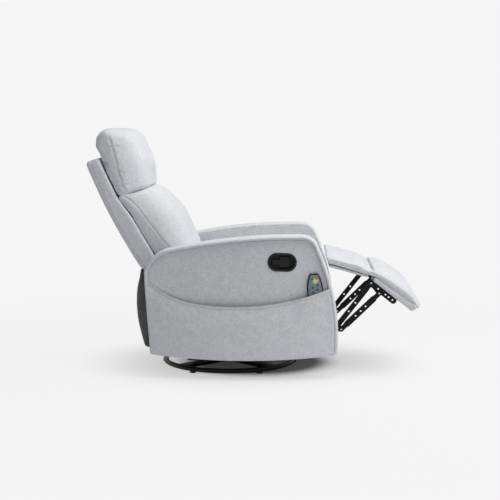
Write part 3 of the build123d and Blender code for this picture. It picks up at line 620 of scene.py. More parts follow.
@dataclass(frozen=True)
class Thread:
    """Twisted sewing thread."""

    name: str
    colour: tuple = (0.42, 0.425, 0.44)
    pitch: float = 0.0007

    def material(self) -> bpy.types.Material:
        """Makes the thread, with its twist as a fine bump.

        Returns:
            The finished material.
        """
        s = Shader(self.name)
        x, y, z = s.parts(s.place)
        twist = ((x + y * 0.4 + z) * (math.tau / self.pitch)).sine() * 0.5 + 0.5
        colour = s.mix(twist, tuple(c * 0.8 for c in self.colour), self.colour)
        return s.surface(Base_Color=colour, Roughness=0.6, Normal=s.bump(twist, 0.3, 0.0002))


@dataclass(frozen=True)
class PaintedSteel:
    """Black powder-coated steel, rubbed where it is handled, with bright rivet heads in places."""

    name: str
    colour: tuple = (0.004, 0.0042, 0.005)
    rubbed: tuple = (0.022, 0.022, 0.025)
    roughness: float = 0.40
    heads: tuple = ()
    head_radius: float = 0.0
    head_edge: float = 0.0004
    head_colour: tuple = (0.62, 0.62, 0.63)

    def material(self) -> bpy.types.Material:
        """Makes the paint: a fine orange-peel skin with faint scuffs.

        Returns:
            The finished material.
        """
        s = Shader(self.name)
        peel = s.noise(900, 2)
        scuff = s.noise(1, 4, s.stretched(60, 60, 260)).above(0.60, 0.78)
        dust = s.noise(35, 4)
        colour = s.mix(scuff * 0.35 + dust * 0.12, self.colour, self.rubbed)
        roughness = dust * 0.16 + scuff * 0.1 + (self.roughness - 0.08)
        metallic: Value = 0.0
        if self.heads:
            x, _, z = s.parts(s.place)
            bright = None
            for hx, hz in self.heads:
                dx, dz = x - hx, z - hz
                far = (dx * dx + dz * dz).root()
                disc = 1 - far.above(self.head_radius - self.head_edge, self.head_radius)
                bright = disc if bright is None else bright + disc
            colour = s.mix(bright, colour, self.head_colour)
            roughness = roughness * (1 - bright * 0.4)
            metallic = bright
        return s.surface(Base_Color=colour, Roughness=roughness, Metallic=metallic,
                         Specular_IOR_Level=0.16, Normal=s.bump(peel, 0.12, 0.0003))


@dataclass(frozen=True)
class BrightSteel:
    """Zinc-plated or bare steel with fine drawn lines and a little dulling."""

    name: str
    colour: tuple = (0.62, 0.62, 0.63)

    def material(self) -> bpy.types.Material:
        """Makes the metal.

        Returns:
            The finished material.
        """
        s = Shader(self.name)
        lines = s.noise(1, 3, s.stretched(500, 500, 40))
        stain = s.noise(70, 4).above(0.45, 0.75)
        colour = s.mix(stain, self.colour, tuple(c * 0.72 for c in self.colour))
        roughness = lines * 0.18 + stain * 0.15 + 0.22
        return s.surface(Base_Color=colour, Metallic=1.0, Roughness=roughness,
                         Normal=s.bump(lines, 0.15, 0.0001))


@dataclass(frozen=True)
class MouldedPlastic:
    """Moulded black plastic with a spark-eroded grain."""

    name: str
    colour: tuple = (0.005, 0.0052, 0.006)
    worn: tuple = (0.011, 0.0115, 0.013)
    grain: float = 1400.0
    roughness: float = 0.38

    def material(self) -> bpy.types.Material:
        """Makes the plastic, a little polished where hands reach.

        Returns:
            The finished material.
        """
        s = Shader(self.name)
        grain = s.noise(self.grain, 2)
        hands = s.noise(45, 3).above(0.4, 0.7)
        roughness = grain * 0.1 + hands * -0.08 + self.roughness
        return s.surface(Base_Color=s.mix(hands, self.colour, self.worn), Roughness=roughness,
                         Specular_IOR_Level=0.26, Normal=s.bump(grain, 0.18, 0.00015))


@dataclass(frozen=True)
class KeypadFilm:
    """Printed film over the remote's keys: blue below, green above, with a lit spot."""

    name: str
    low: tuple = (0.095, 0.165, 0.215)
    high: tuple = (0.17, 0.24, 0.225)
    glow: tuple = (0.62, 0.66, 0.22)
    bottom: float = 0.33
    top: float = 0.43
    lamp: tuple = (0.3700, 0.4068)
    lamp_core: float = 0.003
    lamp_reach: float = 0.017

    def material(self) -> bpy.types.Material:
        """Makes the film.

        Returns:
            The finished material.
        """
        s = Shader(self.name)
        x, _, z = s.parts(s.place)
        climb = z.above(self.bottom, self.top)
        cloud = s.noise(40, 2)
        colour = s.mix(climb * 0.8 + cloud * 0.3, self.low, self.high)
        dx, dz = x - self.lamp[0], z - self.lamp[1]
        far = (dx * dx + dz * dz).root()
        halo = 1 - far.above(self.lamp_core, self.lamp_reach)
        colour = s.mix(halo * 0.85, colour, self.glow)
        light = s.mix(halo, (0.0, 0.0, 0.0), self.glow)
        return s.surface(Base_Color=colour, Roughness=s.noise(600, 2) * 0.1 + 0.28,
                         Coat_Weight=0.4, Emission_Color=light, Emission_Strength=0.15)


@dataclass(frozen=True)
class RubberKey:
    """A soft key cap with a rubbed crown."""

    name: str
    colour: tuple

    def material(self) -> bpy.types.Material:
        """Makes the rubber.

        Returns:
            The finished material.
        """
        s = Shader(self.name)
        rub = s.noise(500, 3)
        rubbed = tuple(min(1, c * 1.4 + 0.01) for c in self.colour)
        return s.surface(Base_Color=s.mix(rub * 0.6, self.colour, rubbed),
                         Roughness=rub * 0.2 + 0.45, Normal=s.bump(rub, 0.1, 0.0001))


@dataclass(frozen=True)
class FrameTimber:
    """Plain pine rails with straight grain along an axis."""

    name: str
    light: tuple = (0.62, 0.45, 0.27)
    dark: tuple = (0.42, 0.27, 0.14)

    def material(self) -> bpy.types.Material:
        """Makes the wood.

        Returns:
            The finished material.
        """
        s = Shader(self.name)
        bend = s.noise(9, 3)
        rings = s.noise(1, 4, s.stretched(14, 130, 130)) + bend * 0.3
        pores = s.noise(1, 2, s.stretched(160, 900, 900))
        colour = s.mix(rings.above(0.45, 0.85), self.light, self.dark)
        return s.surface(Base_Color=colour, Roughness=pores * 0.2 + 0.55,
                         Normal=s.bump(pores * 0.6 + rings * 0.4, 0.25, 0.0004))


class Wardrobe:
    """Every finish of the chair, each made once, by the record's slot."""

    RIVETS = ((0.480, 0.188), (0.450, 0.187), (0.636, 0.340), (0.602, 0.384))
    RIVET_RADIUS = 0.0035

    def __init__(self) -> None:
        """Makes the materials."""
        cover = WovenCover("light_woven_cover")
        flap = WovenCover("dark_back_cloth", (0.350, 0.350, 0.358), yarn=0.0008, sheen=0.1)
        steel = PaintedSteel("black_steel", heads=self.RIVETS, head_radius=self.RIVET_RADIUS)
        glides = MouldedPlastic("glide_plastic", grain=700, roughness=0.5)
        cloth, dark_cloth = cover.material(), flap.material()
        self.thread = Thread("grey_thread").material()
        self.slots = {
            "black_steel": steel.material(),
            "bright_steel": BrightSteel("bright_steel").material(),
            "black_plastic": MouldedPlastic("black_plastic").material(),
            "glide_plastic": glides.material(),
            "wood": FrameTimber("frame_timber").material(),
            "keypad": KeypadFilm("keypad_film").material(),
            "red_key": RubberKey("red_key", (0.55, 0.055, 0.045)).material(),
            "blue_key": RubberKey("blue_key", (0.02, 0.035, 0.10)).material(),
            "fabric": cloth,
            "flap_fabric": dark_cloth,
        }

    def dress_nodes(self) -> None:
        """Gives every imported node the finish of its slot."""
        for row in frame["record"]["subparts"]:
            node = frame["nodes"].get(row["node"])
            if node is None:
                continue
            for slot in node.material_slots:
                slot.material = self.slots[row["material_slot"]]

    def wear(self, obj: bpy.types.Object, slot: str) -> None:
        """Gives a new piece the finish of one of the record's slots.

        Args:
            obj: The piece.
            slot: The record's slot.
        """
        obj.data.materials.clear()
        obj.data.materials.append(self.slots[slot])


# ---------------------------------------------------------------- soft goods
@dataclass(frozen=True)
class Swell:
    """How a cushion's cover is first drawn in and then blown up over its stuffing."""

    drawn_in: float
    rounds: int
    pressure: float
    least: float
    most: float


@dataclass(frozen=True)
class Pull:
    """A line along Y, given by its X and Z, near which a cover is drawn along."""

    at: Point
    by: Point
    radius: float


@dataclass(frozen=True)
class Rest:
    """A line in the XZ plane that a cushion lies against, on the line's left."""

    start: Point
    end: Point
    reach: float
    gap: float = 0.0005
    fade: float = 0.03


@dataclass(frozen=True)
class Seam:
    """A seam along both flanks, at the Y where they lie, with puckers near it."""

    line: tuple
    y: float
    width: float
    depth: float
    puckers: tuple = ()
    pucker_depth: float = 0.0016


@dataclass(frozen=True)
class Lumps:
    """The unevenness that stuffing gives a cover."""

    height: float
    length: float
    seed: int


@dataclass(frozen=True)
class Recipe:
    """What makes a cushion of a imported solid, in the order in which it is done."""

    node: str
    body: str
    voxel: float
    fill: float
    swell: Optional[Swell] = None
    eased: int = 0
    half: Optional[float] = None
    pulls: tuple = ()
    rests: tuple = ()
    finer: bool = True
    seam: Optional[Seam] = None
    lumps: Optional[Lumps] = None


class Stuffed:
    """A packed cushion solid turned into a stuffed, sewn piece."""

    SOFTENING = 0.5
    CLOTH_QUALITY = 5
    CLOTH_MASS = 0.3
    STRETCH_STIFFNESS = 12
    BEND_STIFFNESS = 0.4
    FRAMES = 20
    FULL_RISE = 1.2
    SLIDE_KEPT = 0.5
    SEAM_PLACES = 40
    PUCKER_HEART = 0.3
    TINY = 1e-9

    def __init__(self, recipe: Recipe) -> None:
        """Copies the node's solid as an even mesh.

        Args:
            recipe: What is made.
        """
        self.recipe = recipe
        self.obj = Bench.copy_of(recipe.node, f"{recipe.node}_cover")
        Bench.modify(self.obj, "REMESH", mode="VOXEL", voxel_size=recipe.voxel)

    def make(self, wardrobe: Wardrobe) -> bpy.types.Object:
        """Follows the recipe.

        Args:
            wardrobe: The chair's finishes.

        Returns:
            The finished cushion, in its node's place.
        """
        recipe = self.recipe
        if recipe.swell:
            self._draw_in(recipe.swell)
            self._blow_up(recipe.swell)
        if recipe.eased:
            self._soften(recipe.eased)
        if recipe.half:
            self._keep_within(recipe.half)
        for pull in recipe.pulls:
            self._pull(pull)
        for rest in recipe.rests:
            self._settle(rest)
        if recipe.finer:
            Bench.modify(self.obj, "SUBSURF", levels=1, render_levels=1)
        if recipe.seam:
            for y in (-recipe.seam.y, recipe.seam.y):
                self._sew(recipe.seam, y)
        if recipe.lumps:
            self._lump(recipe.lumps)
        return self._mount(wardrobe)

    def _soften(self, rounds: int) -> None:
        """Rounds the surface's edges."""
        Bench.modify(self.obj, "SMOOTH", factor=self.SOFTENING, iterations=rounds)

    def _draw_in(self, swell: Swell) -> None:
        """Makes room for the swelling."""
        p = Bench.points(self.obj) - Bench.normals(self.obj) * swell.drawn_in
        Bench.place(self.obj, p)
        self._soften(swell.rounds)

    def _blow_up(self, swell: Swell) -> None:
        """Args:
            swell: How hard, and how far its tightest and its fullest places go.
        """
        before, outwards = Bench.points(self.obj), Bench.normals(self.obj)
        move = self._simulate(swell.pressure, len(before)) - before
        rise = (move * outwards).sum(axis=1, keepdims=True)
        slide = move - rise * outwards
        size = np.linalg.norm(slide, axis=1, keepdims=True)
        slide *= self.SLIDE_KEPT * np.minimum(1, swell.most / np.maximum(size, self.TINY))
        share = np.clip(rise / (self.FULL_RISE * swell.most), 0, 1)
        rise = swell.least + (swell.most - swell.least) * share
        Bench.place(self.obj, before + outwards * rise + slide)

    def _simulate(self, pressure: float, count: int) -> np.ndarray:
        """Runs Blender's cloth on the cover, with pressure inside and no weight.

        Args:
            pressure: Pressure inside the cover.
            count: How many vertices the cover has.

        Returns:
            Where the vertices come to lie, one a row.
        """
        cloth = self.obj.modifiers.new("Swell", "CLOTH")
        settings = cloth.settings
        settings.quality = self.CLOTH_QUALITY
        settings.mass = self.CLOTH_MASS
        settings.tension_stiffness = settings.compression_stiffness = self.STRETCH_STIFFNESS
        settings.bending_stiffness = self.BEND_STIFFNESS
        settings.use_pressure = True
        settings.uniform_pressure_force = pressure
        settings.effector_weights.gravity = 0
        cloth.collision_settings.use_collision = False
        cloth.point_cache.frame_end = self.FRAMES
        for number in range(1, self.FRAMES + 1):
            bpy.context.scene.frame_set(number)
        seen = self.obj.evaluated_get(bpy.context.evaluated_depsgraph_get())
        flat = np.empty(3 * count)
        seen.data.vertices.foreach_get("co", flat)
        self.obj.modifiers.remove(cloth)
        bpy.context.scene.frame_set(1)
        return flat.reshape(-1, 3)

    def _keep_within(self, half: float) -> None:
        """Keeps the piece between two planes at Y = -half and half.

        Args:
            half: How far the planes lie from the middle.
        """
        p = Bench.points(self.obj)
        p[:, 1] = np.clip(p[:, 1], -half, half)
        Bench.place(self.obj, p)

    def _pull(self, pull: Pull) -> None:
        """Draws the places near a line along in the XZ plane.

        Args:
            pull: The line, and how far and how widely it draws.
        """
        p = Bench.points(self.obj)
        far = np.linalg.norm(p[:, [0, 2]] - np.array(pull.at), axis=1)
        p[:, [0, 2]] += np.exp(-(far / pull.radius) ** 2)[:, None] * np.array(pull.by)
        Bench.place(self.obj, p)

    def _settle(self, rest: Rest) -> None:
        """Lays the cushion against a line, and keeps it from crossing the line.

        Args:
            rest: The line, the least distance from it, and how near a place must be to settle.
        """
        p = Bench.points(self.obj)
        a, b = np.array(rest.start), np.array(rest.end)
        length = np.linalg.norm(b - a)
        run = (b - a) / length
        left = np.array([-run[1], run[0]])
        rel = p[:, [0, 2]] - a
        along, off = rel @ run, rel @ left
        beside = (along > 0) & (along < length)
        short = beside & (off < max(rest.gap, rest.reach))
        over = np.maximum(off[short] - rest.gap, 0)
        fade = np.clip(np.minimum(along[short], length - along[short]) / rest.fade, 0, 1)
        fade = np.where(off[short] < rest.gap, 1, fade)
        near = rest.gap + over * over / max(rest.reach - rest.gap, 1e-6)
        move = (near - off[short]) * fade
        p[short, 0] += move * left[0]
        p[short, 2] += move * left[1]
        Bench.place(self.obj, p)

    def _lump(self, lumps: Lumps) -> None:
        """Adds the unevenness of stuffing.

        Args:
            lumps: How high and how long the lumps are, and which.
        """
        p = Bench.points(self.obj)
        height = lumps.height * ripple(p, lumps.length, lumps.seed)
        Bench.place(self.obj, p + Bench.normals(self.obj) * height[:, None])

    def _on_surface(self, path: np.ndarray) -> np.ndarray:
        """The nearest points of the surface to each point of a path."""
        return np.array([self.obj.closest_point_on_mesh(Vector(p))[1] for p in path])

    def _sew(self, seam: Seam, y: float) -> None:
        """Sews a seam along the flank that faces a Y, with its puckers.

        Args:
            seam: The seam.
            y: The side that it lies on.
        """
        count = self.SEAM_PLACES
        line = spaced(np.array(seam.line), count)
        path = self._on_surface(np.stack([line[:, 0], np.full(count, y), line[:, 1]], axis=1))
        p, n = Bench.points(self.obj), Bench.normals(self.obj)
        near = np.full(len(p), np.inf)
        for a, b in zip(path[:-1], path[1:]):
            run = b - a
            t = np.clip(((p - a) @ run) / max(run @ run, 1e-12), 0, 1)
            near = np.minimum(near, np.linalg.norm(p - a - t[:, None] * run, axis=1))
        Bench.place(self.obj, p - n * (seam.depth * np.exp(-(near / seam.width) ** 2))[:, None])
        for at, radius, folds in seam.puckers:
            spot = self._on_surface(np.array([[at[0], y, at[1]]]))[0]
            self._pucker(spot, radius, folds, seam.pucker_depth)

    def _pucker(self, at: np.ndarray, radius: float, count: int, depth: float) -> None:
        """Gathers the cloth in small folds that fan out from a place.

        Args:
            at: The place.
            radius: How far the folds reach.
            count: How many folds there are.
            depth: How high they stand.
        """
        p, n = Bench.points(self.obj), Bench.normals(self.obj)
        rel = p - at
        far = np.linalg.norm(rel, axis=1)
        angle = np.arctan2(rel[:, 2], rel[:, 0])
        heart = np.minimum(far / (self.PUCKER_HEART * radius), 1)
        fold = np.sin(count * angle) * np.exp(-(far / radius) ** 2) * heart
        Bench.place(self.obj, p + n * (depth * fold)[:, None])

    def _mount(self, wardrobe: Wardrobe) -> bpy.types.Object:
        """Shades, dresses and mounts the piece in its node's place.

        Args:
            wardrobe: The chair's finishes.

        Returns:
            The piece.
        """
        Bench.smooth(self.obj)
        wardrobe.wear(self.obj, "fabric")
        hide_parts(self.recipe.node)
        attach(self.obj, self.recipe.body)
        return Bench.report(self.obj)


@dataclass
class Stitching:
    """Rows of thread stitches laid on a surface."""

    length: float = 0.0042
    gap: float = 0.0016
    radius: float = 0.00045
    flatness: float = 0.8
    proud: float = 0.3
    sides: int = 6
    rings: int = 4

    def row(self, name: str, path: np.ndarray, normals: np.ndarray) -> bpy.types.Object:
        """Lays stitches along a path.

        Args:
            name: Name of the new piece.
            path: Places on the surface, one a row.
            normals: The surface's outward direction at each.

        Returns:
            One mesh of all the stitches.
        """
        run = np.linalg.norm(np.diff(path, axis=0), axis=1).sum()
        count = max(2, int(run / (self.length + self.gap)))
        both = spaced(np.hstack([path, normals]), count + 1)
        centres = (both[:-1, :3] + both[1:, :3]) / 2
        ways = np.diff(both[:, :3], axis=0)
        ways /= np.linalg.norm(ways, axis=1, keepdims=True)
        outs = both[:-1, 3:]
        acrosses = np.cross(ways, outs)
        acrosses /= np.linalg.norm(acrosses, axis=1, keepdims=True)
        one = Bench.add("uv_sphere", name, segments=self.sides, ring_count=self.rings, radius=1)
        shape = Bench.points(one)
        faces = [list(f.vertices) for f in one.data.polygons]
        shape = shape * np.array([self.radius, self.radius * self.flatness, self.length / 2])
        places, all_faces = [], []
        for i, (c, w, o, a) in enumerate(zip(centres, ways, outs, acrosses)):
            stitch = shape[:, :1] * a + shape[:, 1:2] * o + shape[:, 2:] * w
            places.append(c + stitch + o * self.radius * self.proud)
            all_faces += [[v + i * len(shape) for v in f] for f in faces]
        mesh = bpy.data.meshes.new(name)
        mesh.from_pydata(np.vstack(places).tolist(), [], all_faces)
        one.data = mesh
        Bench.close(one, 1e-7)
        Bench.smooth(one)
        return one


# ---------------------------------------------------------------- sides
@dataclass(frozen=True)
class Bow:
    """The curve of a side, seen from above: furthest out at its middle."""

    radius: float
    middle: float = 0.065

    def drop(self, x: np.ndarray) -> np.ndarray:
        """How far the side curves in at each X."""
        return (x - self.middle) ** 2 / (2 * self.radius)


@dataclass(frozen=True)
class HandleCup:
    """The hole in the right arm that the release handle's cup fits."""

    half_length: float = 0.0535
    half_height: float = 0.0322
    depth: float = 0.070
    sunk: float = 0.033
    tilt: float = -2.0
    sides: int = 64


@dataclass
class Arm:
    """One padded arm: a rolled rim round an inset side panel, and a crowned top band."""

    side: Side
    wardrobe: Wardrobe
    outline: Outline = Outline((-0.305, 0.096), (
        ((-0.319, 0.260), (-0.331, 0.436)), ((-0.298, 0.492), (-0.242, 0.529)),
        ((0.003, 0.572), (0.318, 0.5885)), ((0.358, 0.574), (0.380, 0.542)),
        ((0.443, 0.349), (0.463, 0.165)), (0.461, 0.108), ((0.4583, 0.0993), (0.449, 0.096)),
        (-0.305, 0.096)))
    inner: float = 0.265
    outer: float = 0.375
    bow: Bow = Bow(2.615)
    places: int = 1500
    around: int = 320
    base: int = 96
    band_cuts: int = 9
    crown: float = 0.0025
    crown_from: float = 0.12
    shoulder: float = 0.0158
    inner_shoulder: float = 0.0098
    crease_angle: float = 70
    roll: tuple = (
        (0.0006, 0.0062), (0.0020, 0.0108), (0.0042, 0.0142), (0.0070, 0.0158), (0.0098, 0.0152),
        (0.0120, 0.0128), (0.0134, 0.0090), (0.0142, 0.0040), (0.0148, -0.0006), (0.0156, 0.0010),
        (0.0168, 0.0022), (0.0200, 0.0028), (0.0270, 0.0030))
    inner_round: tuple = (
        (0.0008, 0.0040), (0.0026, 0.0070), (0.0058, 0.0090), (0.0105, 0.0098),
        (0.0118, 0.0088), (0.0131, 0.0096), (0.0180, 0.0098))
    cup: HandleCup = HandleCup()

    def _ring(self, inwards: float) -> np.ndarray:
        """Draws the outline in, leaving out what would cross itself.

        Args:
            inwards: How far in.

        Returns:
            Its places from its low rear corner up, over, and back below.
        """
        fine = spaced(self.outline.path()[:-1], self.places, closed=True)
        along = np.roll(fine, -1, axis=0) - np.roll(fine, 1, axis=0)
        along /= np.linalg.norm(along, axis=1, keepdims=True)
        ring = fine + np.stack([along[:, 1], -along[:, 0]], axis=1) * inwards
        far = np.linalg.norm(ring[:, None] - fine[None], axis=2).min(axis=1)
        ring = ring[far > inwards * 0.999 - 1e-6]
        turn = int(np.argmax(ring[:, 0] - 2 * ring[:, 1]))
        first = int(np.argmin(ring[:, 0] + 2 * ring[:, 1]))
        ring = np.roll(ring, -first, axis=0)
        turn = (turn - first) % len(ring)
        over = spaced(ring[: turn + 1], self.around - self.base + 1)
        below = spaced(np.vstack([ring[turn:], ring[:1]]), self.base + 1)
        return np.vstack([over[:-1], below[:-1]])

    @staticmethod
    def _panel(loop: np.ndarray, b: int) -> bpy.types.Object:
        """A grid that fills a loop.

        Args:
            loop: The loop's places, one a row.
            b: How many of its sides, the last ones, are its bottom.

        Returns:
            The grid.
        """
        a = len(loop) // 2 - b
        left, top = loop[: a + 1], loop[a: a + b + 1]
        right = loop[a + b: 2 * a + b + 1][::-1]
        bottom = np.vstack([loop[2 * a + b:], loop[:1]])[::-1]
        obj = Bench.add("grid", "panel", x_subdivisions=b, y_subdivisions=a, size=2)
        p = Bench.points(obj)
        i = np.rint((p[:, 0] + 1) / 2 * b).astype(int)
        j = np.rint((p[:, 1] + 1) / 2 * a).astype(int)
        u, v = (i / b)[:, None], (j / a)[:, None]
        flat = ((1 - u) * left[j] + u * right[j] + (1 - v) * bottom[i] + v * top[i]
                - (1 - u) * (1 - v) * left[0] - u * (1 - v) * right[0]
                - (1 - u) * v * left[-1] - u * v * right[-1])
        Bench.place(obj, flat)
        return obj

    def _cap(self, obj: bpy.types.Object, sign: float, start: float,
             steps: Sequence[Point]) -> bpy.types.Object:
        """Draws an end face in by steps, then fills the last ring with a grid.

        Args:
            obj: The arm so far.
            sign: Which way along Y the face looks.
            start: The Y of its edge.
            steps: How far in and how far out each ring lies from that edge.

        Returns:
            The arm with its end closed.
        """
        Bench.pick(obj, lambda c, n: n[:, 1] * sign > 0.9)
        ring, y = self._ring(0), start
        for inwards, out in steps:
            with Bench.edit(obj):
                bpy.ops.mesh.extrude_region_move(
                    TRANSFORM_OT_translate={"value": (0, sign * 0.001, 0)})
            p = Bench.points(obj)
            chosen = np.array([v.index for v in obj.data.vertices if v.select])
            order = np.linalg.norm(p[chosen][:, None, [0, 2]] - ring[None], axis=2).argmin(axis=1)
            ring, y = self._ring(inwards), start + sign * out
            p[chosen] = np.stack([ring[order, 0], np.full(len(order), y), ring[order, 1]], axis=1)
            Bench.place(obj, p)
        with Bench.edit(obj):
            bpy.ops.mesh.delete(type="ONLY_FACE")
        loop = np.stack([ring[:, 0], np.full(len(ring), y), ring[:, 1]], axis=1)
        return Bench.join([obj, self._panel(loop, self.base)], obj.name)

    def build(self, handle_room: bool) -> bpy.types.Object:
        """Models the arm.

        Args:
            handle_room: True where the release handle's cup is let in.

        Returns:
            The arm in place.
        """
        n = self.around
        ring = self._ring(0)
        obj = Bench.add("cylinder", f"{self.side.word}_arm_cover", vertices=n, radius=1, depth=1,
                        end_fill_type="NGON")
        p = Bench.points(obj)
        k = np.rint(np.arctan2(p[:, 1], p[:, 0]) / (math.tau / n)).astype(int) % n
        low, high = -self.outer + self.shoulder, -self.inner - self.inner_shoulder
        y = np.where(p[:, 2] < 0, low, high)
        Bench.place(obj, np.stack([ring[k, 0], y, ring[k, 1]], axis=1))
        Bench.face_out(obj)
        Bench.pick_edges(obj, lambda a, b: np.abs(a[:, 1] - b[:, 1]) > 0.01)
        with Bench.edit(obj, "EDGE"):
            bpy.ops.mesh.subdivide_edgering(number_cuts=self.band_cuts, interpolation="LINEAR")
        obj = self._cap(obj, -1, low, self.roll)
        obj = self._cap(obj, 1, high, self.inner_round)
        Bench.close(obj, 2e-5)
        self._crown(obj, low, high)
        self._bow_out(obj)
        if handle_room:
            self._let_in_handle(obj)
        if self.side is Side.LEFT:
            Bench.to_left(obj, 1e-6)
        Bench.smooth(obj, self.crease_angle)
        self.wardrobe.wear(obj, "fabric")
        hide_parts(f"{self.side.word}_arm")
        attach(obj, "chassis")
        return Bench.report(obj)

    def _crown(self, obj: bpy.types.Object, low: float, high: float) -> None:
        """Rounds the band between the two sides outwards, with the stuffing's unevenness.

        Args:
            obj: The arm.
            low: The Y of the band's outer edge.
            high: The Y of its inner edge.
        """
        p, nrm = Bench.points(obj), Bench.normals(obj)
        t = np.clip((p[:, 1] - low) / (high - low), 0, 1)
        inside = (p[:, 1] > low + DOUBLE) & (p[:, 1] < high - DOUBLE)
        band = np.where(inside, 1 - (2 * t - 1) ** 2, 0)
        way = nrm * np.array([1, 0, 1])
        size = np.linalg.norm(way, axis=1, keepdims=True)
        way = way / np.maximum(size, 1e-9)
        stuffing = 1 + 0.25 * ripple(p, 0.16, 5)
        lift = self.crown * band * (p[:, 2] > self.crown_from) * stuffing
        Bench.place(obj, p + way * lift[:, None])

    def _bow_out(self, obj: bpy.types.Object) -> None:
        """Curves the outer side in plan, the band following in proportion.

        Args:
            obj: The arm.
        """
        p = Bench.points(obj)
        share = np.clip((-self.inner - p[:, 1]) / (self.outer - self.inner), 0, 1)
        p[:, 1] += self.bow.drop(p[:, 0]) * share
        p[:, 1] += np.where(share > 0.05, 0.0005 * ripple(p, 0.11, 9), 0)
        Bench.place(obj, p)

    def _let_in_handle(self, obj: bpy.types.Object) -> None:
        """Cuts the hole that the release handle's cup fits.

        Args:
            obj: The arm.
        """
        cup = self.cup
        low, high = (np.array(c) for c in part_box("handle_bezel"))
        middle = (low + high) / 2
        cutter = Bench.add("cylinder", "cup_room", vertices=cup.sides, radius=cup.half_height,
                           depth=cup.depth, rotation=(math.pi / 2, 0, 0))
        bpy.ops.object.transform_apply(location=True, rotation=True, scale=True)
        p = Bench.points(cutter)
        p[:, 0] += np.sign(p[:, 0]) * (cup.half_length - cup.half_height)
        tilt = math.radians(cup.tilt)
        x = p[:, 0] * math.cos(tilt) - p[:, 2] * math.sin(tilt) + middle[0]
        z = p[:, 0] * math.sin(tilt) + p[:, 2] * math.cos(tilt) + middle[2]
        Bench.place(cutter, np.stack([x, p[:, 1] + high[1] - cup.sunk, z], axis=1))
        Bench.close(cutter, 1e-6)
        Bench.modify(obj, "BOOLEAN", operation="DIFFERENCE", object=cutter, solver="EXACT")
        bpy.data.objects.remove(cutter)


